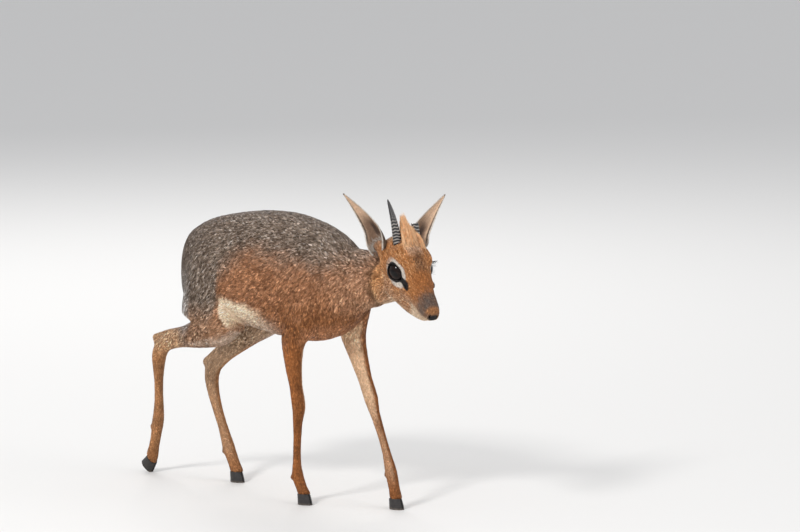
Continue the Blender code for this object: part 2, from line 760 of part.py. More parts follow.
def swollen_copy(thing, home):
    """A copy grown by the gap, to cut clearance for it."""
    copy = bpy.data.objects.new(thing.name + "_swollen", thing.data.copy())
    home.objects.link(copy)
    modifier(copy, "DISPLACE", strength=GAP * 1.25, mid_level=0.0, direction="NORMAL")
    apply_modifiers(copy)
    return copy


def named_pieces(body, home):
    """Parts the cut flesh into its nodes, each told by where its middle lies."""
    names = {}
    for group in pieces_of(body):
        points = [body.data.vertices[i].co for i in group]
        if len(points) < 20:
            continue
        low = Vector([min(p[k] for p in points) for k in range(3)])
        high = Vector([max(p[k] for p in points) for k in range(3)])
        mid = (low + high) / 2
        if high.x - low.x > 0.25:
            name = "torso"
        elif high.x > 0.30:
            name = "head"
        elif low.z > 0.25:
            name = "neck"
        elif mid.x > 0:
            name = "foreleg_right" if mid.y < 0 else "foreleg_left"
        else:
            name = "hindleg_right" if low.x < -0.18 else "hindleg_left"
        if name not in names or len(group) > len(names[name]):
            names[name] = group
    made = {}
    for name, group in names.items():
        piece = bpy.data.objects.new(name, body.data.copy())
        home.objects.link(piece)
        keep_only(piece, group)
        made[name] = piece
    bpy.data.objects.remove(body)
    return made


def centre_on_floor(things):
    """Moves everything so that the middle of the box's underside is the origin."""
    points = [vertex.co for thing in things for vertex in thing.data.vertices]
    low = Vector([min(p[k] for p in points) for k in range(3)])
    high = Vector([max(p[k] for p in points) for k in range(3)])
    shift = Vector((-(low.x + high.x) / 2, -(low.y + high.y) / 2, -low.z))
    for thing in things:
        thing.data.transform(Matrix.Translation(shift))


def main():
    clear_scene()
    animal = collection("dik_dik")
    cutters = collection("cutters", hidden=True)
    work = collection("work", hidden=True)

    body = flesh(work)
    work.objects.unlink(body)
    animal.objects.link(body)
    parting_cuts(cutters)
    foot_cutters(cutters)
    carve(body, cutters)
    nodes = named_pieces(body, animal)

    crest(cutters)
    lids(cutters)
    fuse(nodes["head"], cutters)
    head_cutters(cutters)
    for side, word in ((-1, "right"), (1, "left")):
        length = (HORN_TIP - HORN_ROOT).length if side < 0 else STUMP_LENGTH
        nodes["horn_" + word] = horn("horn_" + word, side, length * 1.001, side > 0, animal)
        swollen_copy(nodes["horn_" + word], cutters)
    carve(nodes["head"], cutters)
    keep_largest(nodes["head"])

    for side, word in ((-1, "right"), (1, "left")):
        nodes["ear_" + word] = ear("ear_" + word, side, animal)
        swollen_copy(nodes["head"], cutters)
        swollen_copy(nodes["horn_" + word], cutters)
        carve(nodes["ear_" + word], cutters)
        keep_largest(nodes["ear_" + word])
        nodes["eye_" + word] = ball("eye_" + word, mirrored(EYE_AT, side), (EYE_RADIUS,) * 3,
                                    animal, HEAD)
    nodes["tail"] = limb("tail", TAIL, animal, sides=12, per_span=2)
    swollen_copy(nodes["torso"], cutters)
    carve(nodes["tail"], cutters)
    keep_largest(nodes["tail"])
    for name, foot, tilt in FEET:
        for side in (-1, 1):
            word = "outer" if (side < 0) == ("right" in name) else "inner"
            key = f"hoof_{name}_{word}"
            nodes[key] = claw(key, foot, side, tilt, animal)
            if tilt:
                block("floor", (0.4, 0.4, 0.1), cutters, Matrix.Translation((foot.x, foot.y, -0.05)))
                carve(nodes[key], cutters)

    coat = finish(FUR_RED, "coat_red")
    finishes = {
        "torso": finish(FUR_GREY, "coat_grizzled"),
        "horn": finish(HORN_BLACK, "horn", 0.45),
        "hoof": finish(HORN_BLACK, "hoof", 0.35),
        "eye": finish((0.012, 0.008, 0.006), "eye", 0.05),
        "ear": finish(FUR_PALE, "coat_ear"),
    }
    centre_on_floor(list(nodes.values()))
    for name, thing in nodes.items():
        thing.data.materials.clear()
        thing.data.materials.append(finishes.get(name.split("_")[0], coat))
        thing.data.shade_smooth()


main()
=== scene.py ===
"""A male dik-dik in mid stride: skin under a short tufted coat, with eyes, ears, horns and hooves."""

import math

import bmesh
import bpy
import numpy as np
from mathutils import Matrix, Vector


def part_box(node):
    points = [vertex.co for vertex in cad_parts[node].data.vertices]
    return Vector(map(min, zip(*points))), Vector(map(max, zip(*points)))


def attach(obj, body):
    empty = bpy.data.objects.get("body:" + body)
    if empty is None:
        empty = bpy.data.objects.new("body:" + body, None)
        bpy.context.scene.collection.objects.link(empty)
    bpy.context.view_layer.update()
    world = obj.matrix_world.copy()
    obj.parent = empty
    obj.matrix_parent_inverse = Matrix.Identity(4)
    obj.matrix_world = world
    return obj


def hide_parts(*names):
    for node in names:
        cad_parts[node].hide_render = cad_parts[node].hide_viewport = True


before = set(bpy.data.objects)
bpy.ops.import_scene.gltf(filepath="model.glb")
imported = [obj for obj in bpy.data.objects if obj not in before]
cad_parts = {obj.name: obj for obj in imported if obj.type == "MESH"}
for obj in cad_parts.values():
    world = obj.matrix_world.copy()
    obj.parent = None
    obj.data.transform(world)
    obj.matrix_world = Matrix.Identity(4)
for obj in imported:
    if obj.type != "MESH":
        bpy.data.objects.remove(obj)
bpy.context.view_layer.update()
bpy.ops.object.select_all(action="DESELECT")

FLESH = ("torso", "neck", "head", "tail", "foreleg_right", "foreleg_left",
         "hindleg_right", "hindleg_left")
SKIN_TRIANGLES = 186000
SKIN_VOXEL = 0.0013
BODY_TUFTS = 600000
TUFTS_IN_PIECE = 86000
BAKE_PATCH = 0.003
ROOT_SINK = 0.0004
CLUMP_KINDS = 65536
CLUMP_LENGTHS = (0.0033, 0.0050)
CLUMP_SIZES = (0.0014, 0.0015, 0.0020)
CLUMP_BENDS = np.random.default_rng(80).normal(0, 1, (CLUMP_KINDS, 3)).clip(-1.6, 1.6)

# The head's own frame, as in the solids: ahead along the nose, left, and up from the brow.
HEAD_YAW = math.radians(-23.0)
HEAD_PITCH = math.radians(24.0)
HEAD_FROM_BODY = np.array((0.2963, 0.005, 0.349))
EYE_RADIUS = 0.0148
EYE_AT = np.array((-0.0055, 0.0180, -0.0014))
EYE_AXIS = np.array((0.58, 0.81, 0.10))
LID_THICKNESS = 0.0013
LID_LENGTH = 0.0276
LID_HEIGHT = 0.0220
LID_TILT = math.radians(18.0)
LID_DEPTHS = ((0.10, 0.9), (0.75, 1.0), (1.9, 1.25))
LID_RIM_RISE = 0.0009
LID_RIM_THICKNESS = 0.00085
SOCKET_GAP = 0.0002
LASH_RISE = 0.0012
LASH_LENGTH = 0.0100
LASH_WIDTH = 0.00050
GLAND_AT = np.array((0.0305, 0.0215, -0.0060))
GLAND_FILL_AT = np.array((0.0305, 0.0190, -0.0060))
GLAND_FILL_RADII = (0.0060, 0.0040, 0.0052)
GLAND_PIT_AT = np.array((0.0305, 0.0222, -0.0060))
GLAND_PIT_RADII = (0.0040, 0.0032, 0.0030)
TEAR_CORNER = np.array((0.0080, 0.0225, -0.0050))
HORN_ROOT = np.array((-0.0340, 0.0140, 0.0290))
HORN_TIP = np.array((-0.0805, 0.0178, 0.0700))
HORN_RADIUS = 0.0064
HORN_SIDES = 40
RING_PITCH = 0.0044
STUMP_LENGTH = 0.023
EARS = {
    -1: ((-0.0580, -0.0298, 0.0108), (-0.1015, -0.0775, 0.0705), (0.63, -0.77, -0.03)),
    1: ((-0.0560, 0.0270, 0.0120), (-0.1015, 0.0815, 0.0598), (0.75, 0.12, 0.62)),
}
EAR_HALF_WIDTH = 0.0146
EAR_THICKNESS = 0.0011
NOSE_PAD_AT = np.array((0.0890, 0.0, -0.0232))
NOSE_PAD_RADII = np.array((0.0058, 0.0074, 0.0046))
CREST_STRANDS = 7600
CREST_CLUMPS = 96
CREST_SINK = 0.0022
CAMERA_AT = np.array((5.5852329, -5.6920, 1.4486613))
SIDE_WORDS = {-1: "right", 1: "left"}

AHEAD = np.array((math.cos(HEAD_PITCH) * math.cos(HEAD_YAW),
                  math.cos(HEAD_PITCH) * math.sin(HEAD_YAW), -math.sin(HEAD_PITCH)))
LEFT = np.array((-math.sin(HEAD_YAW), math.cos(HEAD_YAW), 0.0))
UP = np.cross(AHEAD, LEFT)
HEAD_TURN = np.array((AHEAD, LEFT, UP))


def box_middle(node):
    low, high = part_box(node)
    return (np.array(low) + np.array(high)) / 2


EYES_MIDDLE = (box_middle("eye_right") + box_middle("eye_left")) / 2
HEAD_AT = EYES_MIDDLE - AHEAD * EYE_AT[0] - UP * EYE_AT[2]
BODY_AT = HEAD_AT - HEAD_FROM_BODY


def to_head(points):
    return (points - HEAD_AT) @ HEAD_TURN.T


def from_head(points):
    return np.asarray(points) @ HEAD_TURN + HEAD_AT


def mirrored(point, side):
    return np.array((point[0], point[1] * side, point[2]))


def unit(vectors):
    return vectors / np.maximum(np.linalg.norm(vectors, axis=-1, keepdims=True), 1e-12)


def smooth(low, high, values):
    share = np.clip((values - low) / (high - low), 0.0, 1.0)
    return share * share * (3 - 2 * share)


def mix(first, second, share):
    return first + (np.asarray(second) - first) * share[:, None]


# Meshes


def placed(name, data):
    """A new object in the scene that holds a mesh, a light or a camera."""
    thing = bpy.data.objects.new(name, data)
    bpy.context.scene.collection.objects.link(thing)
    return thing


def object_from(name, vertices, faces, uv=None):
    """An object from arrays of points and of triangles or four-sided faces."""
    mesh = bpy.data.meshes.new(name)
    sides = faces.shape[1]
    mesh.vertices.add(len(vertices))
    mesh.vertices.foreach_set("co", np.ascontiguousarray(vertices, dtype=np.float32).ravel())
    mesh.loops.add(faces.size)
    mesh.loops.foreach_set("vertex_index", np.ascontiguousarray(faces, dtype=np.int32).ravel())
    mesh.polygons.add(len(faces))
    mesh.polygons.foreach_set("loop_start", np.arange(0, faces.size, sides, dtype=np.int32))
    mesh.update(calc_edges=True)
    if uv is not None:
        layer = mesh.uv_layers.new(name="OFBake")
        layer.data.foreach_set("uv", np.ascontiguousarray(uv, dtype=np.float32).ravel())
    mesh.shade_smooth()
    return placed(name, mesh)


def points_of(thing, value="co"):
    """The place of each point of a mesh, or its normal, as rows of three."""
    points = np.empty(len(thing.data.vertices) * 3)
    thing.data.vertices.foreach_get(value, points)
    return points.reshape(-1, 3)


def normals_of(thing):
    return points_of(thing, "normal")


def set_points(thing, points):
    thing.data.vertices.foreach_set("co", np.ascontiguousarray(points).ravel())
    thing.data.update()


def paint(thing, colours):
    """Keeps a colour for each point, which the materials read."""
    layer = thing.data.color_attributes.new("coat", "FLOAT_COLOR", "POINT")
    full = np.ones((len(colours), 4))
    full[:, :3] = np.clip(colours, 0, 1)
    layer.data.foreach_set("color", full.ravel())


def make_active(thing):
    bpy.ops.object.select_all(action="DESELECT")
    thing.select_set(True)
    bpy.context.view_layer.objects.active = thing


def edit(thing, *steps):
    """Runs mesh operators, each with its settings, on all of a mesh."""
    make_active(thing)
    bpy.ops.object.mode_set(mode="EDIT")
    bpy.ops.mesh.select_all(action="SELECT")
    for operator, settings in steps:
        operator(**settings)
    bpy.ops.object.mode_set(mode="OBJECT")


def modify(thing, kind, **settings):
    """Adds a modifier and applies it at once."""
    made = thing.modifiers.new(kind.lower(), kind)
    for key, value in settings.items():
        setattr(made, key, value)
    make_active(thing)
    bpy.ops.object.modifier_apply(modifier=made.name)


def loft(name, rings):
    """A closed skin over rings of equal count."""
    rings = np.asarray(rings)
    rows, count = rings.shape[:2]
    mesh = bmesh.new()
    loops = [[mesh.verts.new(point) for point in ring] for ring in rings]
    for first, second in zip(loops, loops[1:]):
        for k in range(count):
            mesh.faces.new((first[k], first[(k + 1) % count], second[(k + 1) % count], second[k]))
    mesh.faces.new(loops[0][::-1])
    mesh.faces.new(loops[-1])
    bmesh.ops.recalc_face_normals(mesh, faces=mesh.faces[:])
    data = bpy.data.meshes.new(name)
    mesh.to_mesh(data)
    mesh.free()
    data.shade_smooth()
    return placed(name, data)


def ball(name, centre, radii, segments=48, rings=28):
    """A round or long ball in the head's frame."""
    bpy.ops.mesh.primitive_uv_sphere_add(segments=segments, ring_count=rings, radius=1.0)
    thing = bpy.context.object
    thing.name = name
    set_points(thing, from_head(points_of(thing) * np.array(radii) + np.array(centre)))
    thing.data.shade_smooth()
    return thing


def cut(thing, tools):
    for tool in tools:
        modify(thing, "BOOLEAN", operation="DIFFERENCE", object=tool, solver="MANIFOLD")
        bpy.data.objects.remove(tool)


# Finishes


def new_finish(name, roughness, specular=0.5):
    material = bpy.data.materials.new(name)
    material.use_nodes = True
    shader = material.node_tree.nodes["Principled BSDF"]
    shader.inputs["Roughness"].default_value = roughness
    shader.inputs["Specular IOR Level"].default_value = specular
    return material, material.node_tree.nodes, material.node_tree.links, shader


def add_noise(nodes, links, scale):
    """Fine grain on Object coordinates."""
    place = nodes.new("ShaderNodeTexCoord")
    grain = nodes.new("ShaderNodeTexNoise")
    grain.inputs["Scale"].default_value = scale
    grain.inputs["Detail"].default_value = 4.0
    links.new(place.outputs["Object"], grain.inputs["Vector"])
    return grain


def add_bump(nodes, links, shader, source, strength, distance):
    bump = nodes.new("ShaderNodeBump")
    bump.inputs["Strength"].default_value = strength
    bump.inputs["Distance"].default_value = distance
    links.new(source, bump.inputs["Height"])
    links.new(bump.outputs["Normal"], shader.inputs["Normal"])


def shaded_by(nodes, links, colour, grain, low, high):
    """The colour made lighter and darker by the grain."""
    spread = nodes.new("ShaderNodeMapRange")
    spread.inputs["From Min"].default_value = 0.3
    spread.inputs["From Max"].default_value = 0.7
    spread.inputs["To Min"].default_value = low
    spread.inputs["To Max"].default_value = high
    links.new(grain.outputs["Fac"], spread.inputs["Value"])
    scaled = nodes.new("ShaderNodeVectorMath")
    scaled.operation = "SCALE"
    links.new(colour, scaled.inputs[0])
    links.new(spread.outputs["Result"], scaled.inputs["Scale"])
    return scaled.outputs["Vector"]


def painted_finish(name, roughness, grain_scale, low, high, bump, sheen=0.0, specular=0.3):
    """A finish whose colour is the coat's paint, broken up by fine grain."""
    material, nodes, links, shader = new_finish(name, roughness, specular)
    shader.inputs["Sheen Weight"].default_value = sheen
    shader.inputs["Sheen Roughness"].default_value = 0.45
    coat = nodes.new("ShaderNodeAttribute")
    coat.attribute_name = "coat"
    grain = add_noise(nodes, links, grain_scale)
    colour = shaded_by(nodes, links, coat.outputs["Color"], grain, low, high)
    links.new(colour, shader.inputs["Base Color"])
    if bump:
        add_bump(nodes, links, shader, grain.outputs["Fac"], bump, 0.0006)
    return material


SKIN_FINISH = painted_finish("skin_under_fur", 0.85, 700.0, 0.62, 1.12, 0.6)
FUR_FINISH = painted_finish("fur", 0.66, 260.0, 0.86, 1.12, 0.0, sheen=0.04, specular=0.20)
HORN_FINISH = painted_finish("ringed_horn", 0.42, 420.0, 0.75, 1.15, 0.35, specular=0.45)
HOOF_FINISH = painted_finish("hoof", 0.40, 300.0, 0.7, 1.3, 0.25, specular=0.5)
EYE_FINISH = painted_finish("eye", 0.04, 90.0, 0.9, 1.1, 0.0, specular=0.22)
LID_FINISH = painted_finish("lid_rim", 0.5, 500.0, 0.8, 1.2, 0.3, specular=0.3)

# Colours of the coat, as plain light values
GRIZZLE = np.array((0.208, 0.152, 0.112))
RUFOUS = np.array((0.322, 0.140, 0.063))
NECK_TAN = np.array((0.470, 0.245, 0.135))
CHEST_RUFOUS_AND_SHADE = np.array((0.240, 0.085, 0.024))
TAN_LEG = np.array((0.375, 0.130, 0.036))
HIND_TAN = np.array((0.490, 0.225, 0.092))
CREAM = np.array((0.920, 0.700, 0.490))
BELLY_PINK = np.array((0.520, 0.370, 0.270))
ASH = np.array((0.430, 0.385, 0.350))
PALE_TAN = np.array((0.480, 0.315, 0.195))
THIGH_TAN = np.array((0.340, 0.180, 0.098))
HEAD_ORANGE = np.array((0.500, 0.205, 0.068))
BRIDGE_ORANGE = np.array((0.330, 0.112, 0.028))
BROW_BROWN = np.array((0.120, 0.055, 0.027))
BROW_PINK_AND_HIGHLIGHT = np.array((0.560, 0.350, 0.225))
GOLD = np.array((0.920, 0.540, 0.270))
JAW_ORANGE = np.array((0.680, 0.335, 0.140))
CHEEK = np.array((0.520, 0.310, 0.185))
SNOUT_GREY = np.array((0.098, 0.082, 0.071))
WHITE_HAIR = np.array((0.720, 0.650, 0.570))
BLACK_SKIN = np.array((0.012, 0.010, 0.010))
EAR_PALE = (0.820, 0.570, 0.390)
EAR_HOLLOW = (0.150, 0.082, 0.050)
EAR_DEEP = (0.040, 0.026, 0.022)
EAR_TIP = (0.040, 0.030, 0.026)
EAR_LINE = (0.030, 0.024, 0.020)
EAR_BACK = (0.215, 0.150, 0.105)
EAR_BACK_TIP = (0.045, 0.035, 0.030)


def wobble(points, scale, seed=0.0):
    """A smooth field between about -1 and 1 that keeps the edges of markings from being straight."""
    x, y, z = (points * scale + seed).T
    return (np.sin(x + 1.7 * np.sin(y + 0.6 * z)) + np.sin(1.9 * z + 1.3 * np.sin(x - y))
            + np.sin(2.3 * y + 1.1 * np.sin(1.4 * z))) / 3


SADDLE_EDGE = (
    (-0.20, 0.200), (-0.050, 0.205), (-0.034, 0.250), (-0.020, 0.325), (0.010, 0.350),
    (0.040, 0.362), (0.080, 0.360), (0.140, 0.352), (0.180, 0.344), (0.215, 0.348),
    (0.250, 0.366), (0.290, 0.400),
)


def body_colour(place, normals):
    """Markings of the trunk, neck and legs, in the body's own frame, with painted shade on the low chest
    and painted light on the inner forelegs.
    """
    x, y, z = place.T
    out = np.abs(y)
    edge = np.interp(x, *np.array(SADDLE_EDGE).T) + 0.006 * wobble(place, 70.0)
    saddle = smooth(-0.034, 0.026, z - edge + 0.005 * wobble(place, 260.0, 1.0))
    colour = mix(np.tile(RUFOUS, (len(x), 1)), GRIZZLE, saddle)
    colour = colour * (1 - 0.16 * saddle * smooth(-0.03, -0.09, x))[:, None]
    # The low chest is darker: partly its own deeper rufous, partly painted shade under the neck.
    chest = smooth(0.310, 0.265, z) * smooth(0.045, 0.100, x) * smooth(0.235, 0.215, x)
    colour = mix(colour, CHEST_RUFOUS_AND_SHADE, chest * 0.8)
    blotch = wobble(place, 150.0, 6.0)
    colour = mix(colour, RUFOUS * (1.35, 1.4, 1.5), (1 - saddle) * smooth(0.1, 0.8, blotch) * 0.45)
    thigh_edge = np.interp(z, (0.215, 0.232, 0.250, 0.262, 0.275), (-0.024, -0.004, -0.006, -0.016, -0.024))
    haunch = smooth(0.004, -0.004, x - thigh_edge + 0.002 * wobble(place, 400.0, 2.0))
    brown = haunch * smooth(0.285, 0.240, z) * smooth(-0.105, -0.080, x)
    colour = mix(colour, THIGH_TAN, brown * 0.9)
    ash = haunch * smooth(0.330, 0.270, z) * smooth(0.222, 0.242, z) * smooth(-0.076, -0.098, x)
    colour = mix(colour, ASH, ash * 0.85)
    upper = 0.288 - 0.16 * (x + 0.024) + 0.004 * wobble(place, 180.0, 3.0)
    patch = smooth(0.007, -0.007, z - upper) * smooth(0.240, 0.256, z) * (1 - haunch)
    patch = patch * smooth(0.075, 0.035, x) * smooth(0.020, 0.036, out)
    under = smooth(-0.20, -0.60, normals[:, 2]) * smooth(0.275, 0.255, z) * smooth(0.205, 0.225, z)
    under = under * smooth(-0.13, -0.05, x)
    colour = mix(colour, RUFOUS * 1.35, under * smooth(0.06, 0.10, x) * 0.8)
    colour = mix(colour, CREAM, patch)
    colour = mix(colour, BELLY_PINK, under * smooth(0.10, 0.05, x) * (1 - 0.5 * patch))
    fore = smooth(0.250, 0.215, z) * smooth(0.045, 0.065, x)
    hind = smooth(0.246, 0.222, z) * smooth(-0.088, -0.116, x)
    hind = np.maximum(hind, smooth(0.215, 0.190, z) * smooth(0.03, 0.0, x))
    leg = np.maximum(fore, hind)
    tan = mix(np.tile(TAN_LEG, (len(x), 1)), HIND_TAN, smooth(0.02, -0.04, x))
    tan = tan * (1 + 0.16 * wobble(place, 110.0, 4.0) + 0.10 * wobble(place, 420.0, 7.0))[:, None]
    tan = tan * (1 - 0.26 * smooth(0.2, 0.85, normals[:, 0]))[:, None]
    tan = mix(tan, PALE_TAN, smooth(-0.2, -0.9, normals[:, 0]) * 0.4)
    tan = mix(tan, PALE_TAN * 1.3, smooth(0.180, 0.215, z) * smooth(-0.07, -0.10, x) * 0.5)
    colour = mix(colour, tan, leg)
    inward = -np.sign(y) * normals[:, 1]
    pale = smooth(0.05, 0.65, inward) * (0.40 + 0.60 * smooth(0.10, 0.17, z))
    pale = pale * smooth(0.285, 0.255, z) * smooth(0.02, 0.06, z)
    # The inner sides of the legs are pale hair; on the forelegs the pale is raised further as painted light
    # on their shaded inner side, and on the upper hind legs it is darker.
    light = 1.25 + 0.45 * smooth(0.02, 0.05, x) - 0.42 * smooth(0.15, 0.20, z) * smooth(0.03, 0.0, x)
    colour = mix(colour, PALE_TAN * light[:, None], pale * 0.9)
    joint = np.exp(-((z - 0.118) / 0.012) ** 2) * smooth(0.05, 0.09, x)
    joint = joint + np.exp(-((z - 0.150) / 0.012) ** 2) * smooth(0.0, -0.06, x) * 0.5
    colour = mix(colour, TAN_LEG * 0.45, leg * joint * smooth(-0.2, 0.6, normals[:, 0]) * 0.6)
    colour = mix(colour, TAN_LEG * 0.62, leg * smooth(0.055, 0.020, z) * 0.5)
    neck = smooth(0.165, 0.205, x) * smooth(0.270, 0.300, z) * (1 - 0.75 * saddle)
    colour = mix(colour, NECK_TAN, neck * 0.75)
    throat = smooth(0.20, 0.24, x) * smooth(-0.3, -0.8, normals[:, 2]) * smooth(0.27, 0.29, z)
    colour = mix(colour, PALE_TAN * 1.1, throat * 0.6)
    return colour


def lid_frame(side):
    """The way an eye faces, and the ways along and across the opening of its lids."""
    axis = unit(mirrored(EYE_AXIS, side))
    ahead = np.array((math.cos(LID_TILT), 0.0, -math.sin(LID_TILT)))
    ahead = unit(ahead - axis * ahead.dot(axis))
    up = np.cross(axis, ahead)
    return axis, ahead, up if up[2] > 0 else -up


def eye_gap(place, side):
    """How far out a point lies from the opening of the lids, where 1 is their edge."""
    axis, ahead, up = lid_frame(side)
    local = place - mirrored(EYE_AT, side)
    return local @ ahead / (LID_LENGTH / 2), local @ up / (LID_HEIGHT / 2), local @ axis


def pad_gap(place):
    """How far out a point lies from the bare pad of the nose, where 1 is its edge."""
    return np.linalg.norm((place - NOSE_PAD_AT) / NOSE_PAD_RADII, axis=1)


def head_colour(place, normals):
    """Markings of the head, in the head's own frame, with a painted highlight on the brow."""
    a, l, u = place.T
    out = np.abs(l)
    up = normals @ HEAD_TURN[2]
    colour = np.tile(HEAD_ORANGE, (len(a), 1))
    drawn_out = place * np.array((0.30, 1.0, 1.0))
    streak = smooth(-0.25, 0.35, wobble(drawn_out, 2300.0))
    broad = smooth(-0.3, 0.4, wobble(drawn_out, 900.0, 3.0))
    colour = mix(colour, BRIDGE_ORANGE * 0.9, (1 - broad) * 0.60)
    colour = mix(colour, GOLD * 0.85, streak * broad * (0.45 - 0.33 * smooth(0.020, 0.040, a)))
    colour = mix(colour, BRIDGE_ORANGE * 0.62, (1 - streak) * (0.22 + 0.22 * broad))
    bridge = smooth(0.0165, 0.010, out) * smooth(0.022, 0.036, a) * smooth(0.0, 0.5, up)
    colour = mix(colour, BRIDGE_ORANGE, bridge * (0.45 + 0.4 * streak))
    # Pinkish-cream hair on the brow, partly a painted highlight on its upward faces.
    pink_and_highlight = smooth(0.015, 0.008, out) * smooth(0.010, -0.004, a) * smooth(-0.036, -0.022, a)
    colour = mix(colour, BROW_PINK_AND_HIGHLIGHT, pink_and_highlight * smooth(0.0, 0.5, up) * (0.55 + 0.45 * streak))
    ragged = 0.0045 * wobble(drawn_out, 1300.0, 8.0)
    brow = smooth(0.0120, 0.0035, np.abs(l - 0.001) + ragged) * smooth(0.036, 0.018, a + ragged)
    brow = brow * smooth(-0.010, 0.010, a + ragged)
    colour = mix(colour, BROW_BROWN, brow * smooth(0.0, 0.5, up) * (0.45 + 0.55 * (1 - streak)))
    gold = smooth(0.022, 0.010, out) * smooth(-0.012, -0.024, a) * smooth(0.0, 0.5, up)
    colour = mix(colour, GOLD, gold * (0.30 + 0.6 * streak))
    cheek = smooth(-0.011, -0.025, u) * smooth(0.35, -0.2, up)
    colour = mix(colour, CHEEK, cheek * (0.45 + 0.5 * streak))
    stroke = cheek * smooth(0.062, 0.050, a) * smooth(-0.05, -0.03, a)
    colour = mix(colour, BRIDGE_ORANGE * 0.75, stroke * (1 - broad) * (1 - streak) * 0.8)
    grey = smooth(0.048, 0.070, a + 0.004 * wobble(place, 500.0, 2.0) + ragged) * smooth(-0.60, 0.15, up)
    grey = grey * smooth(-0.034, -0.022, u)
    colour = mix(colour, SNOUT_GREY, grey * (0.82 + 0.12 * wobble(place, 300.0)))
    tip = smooth(0.0800, 0.0850, a) * smooth(-0.2, 0.4, up)
    colour = mix(colour, HEAD_ORANGE * 0.8, tip * 0.75)
    lip = smooth(-0.0225, -0.0285, u) * smooth(0.036, 0.050, a)
    colour = mix(colour, CREAM * 0.85, lip * 0.8)
    below = smooth(-0.3, -0.8, up) * smooth(-0.034, -0.042, u)
    colour = mix(colour, CREAM * 0.85, below * 0.7)
    colour = mix(colour, BLACK_SKIN * 2.0, smooth(1.20, 0.95, pad_gap(place)))
    back = smooth(-0.040, -0.062, a) * smooth(0.020, 0.0, u)
    colour = mix(colour, RUFOUS * (1.50, 1.65, 1.80), back)
    jaw = smooth(-0.056, -0.048, a) * smooth(-0.026, -0.038, a) * smooth(0.004, -0.006, u)
    colour = mix(colour, JAW_ORANGE, jaw * (0.35 + 0.40 * streak))
    nape = smooth(-0.045, -0.066, a) * smooth(0.004, 0.018, u)
    colour = mix(colour, GRIZZLE * 1.1, nape * 0.6)
    for side in (-1, 1):
        here = l * side > 0.006
        along, across, depth = eye_gap(place, side)
        near = depth > -0.002
        reach = np.hypot(along, across)
        ring = smooth(1.68, 1.44, np.hypot(along * 0.92 - 0.10, across)) * smooth(0.98, 1.10, reach)
        ring = ring * (0.35 + 0.65 * smooth(-1.35, -0.8, along))
        colour = mix(colour, WHITE_HAIR, ring * (here & near) * 0.92)
        dark = smooth(1.20, 1.09, reach) * (here & near)
        colour = mix(colour, BLACK_SKIN, dark)
        tear, corner = mirrored(GLAND_AT, side), mirrored(TEAR_CORNER, side)
        line = tear - corner
        share = np.clip((place - corner) @ line / line.dot(line), 0, 1)
        gap = np.linalg.norm(place - corner - share[:, None] * line, axis=1)
        width = 0.0048 + 0.0014 * share
        colour = mix(colour, BLACK_SKIN, smooth(1.25, 0.85, gap / width) * here)
    return colour


def head_share(points):
    """1 on the head, 0 on the body, with a soft change behind the jaw."""
    place = points - BODY_AT
    local = to_head(points)
    return (smooth(-0.068, -0.042, local[:, 0]) * smooth(0.222, 0.238, place[:, 0])
            * smooth(0.268, 0.284, place[:, 2]))


def coat_colour(points, normals):
    share = head_share(points)
    body = body_colour(points - BODY_AT, normals)
    head = head_colour(to_head(points), normals)
    colour = body + (head - body) * share[:, None]
    local = to_head(points)
    # Painted shadow: the crease behind the jaw, where the head meets the neck, is darkened below the ear
    # and mostly on the right side.
    jaw_crease_and_shadow = np.clip(4.6 * share * (1 - share), 0, 1) * smooth(0.012, -0.004, local[:, 2])
    return colour * (1 - 0.42 * jaw_crease_and_shadow * smooth(0.012, -0.006, local[:, 1]))[:, None]


def grizzle_share(points):
    """How strongly the hairs of a place are banded dark and pale."""
    place = points - BODY_AT
    edge = np.interp(place[:, 0], *np.array(SADDLE_EDGE).T)
    saddle = smooth(-0.030, 0.010, place[:, 2] - edge)
    flank = smooth(0.215, 0.250, place[:, 2]) * 0.55
    body = 0.12 + 0.88 * np.maximum(saddle, flank)
    local = to_head(points)
    cheek = smooth(-0.004, -0.018, local[:, 2]) * smooth(0.060, 0.045, local[:, 0])
    return body + (0.20 + 0.35 * cheek - body) * head_share(points)


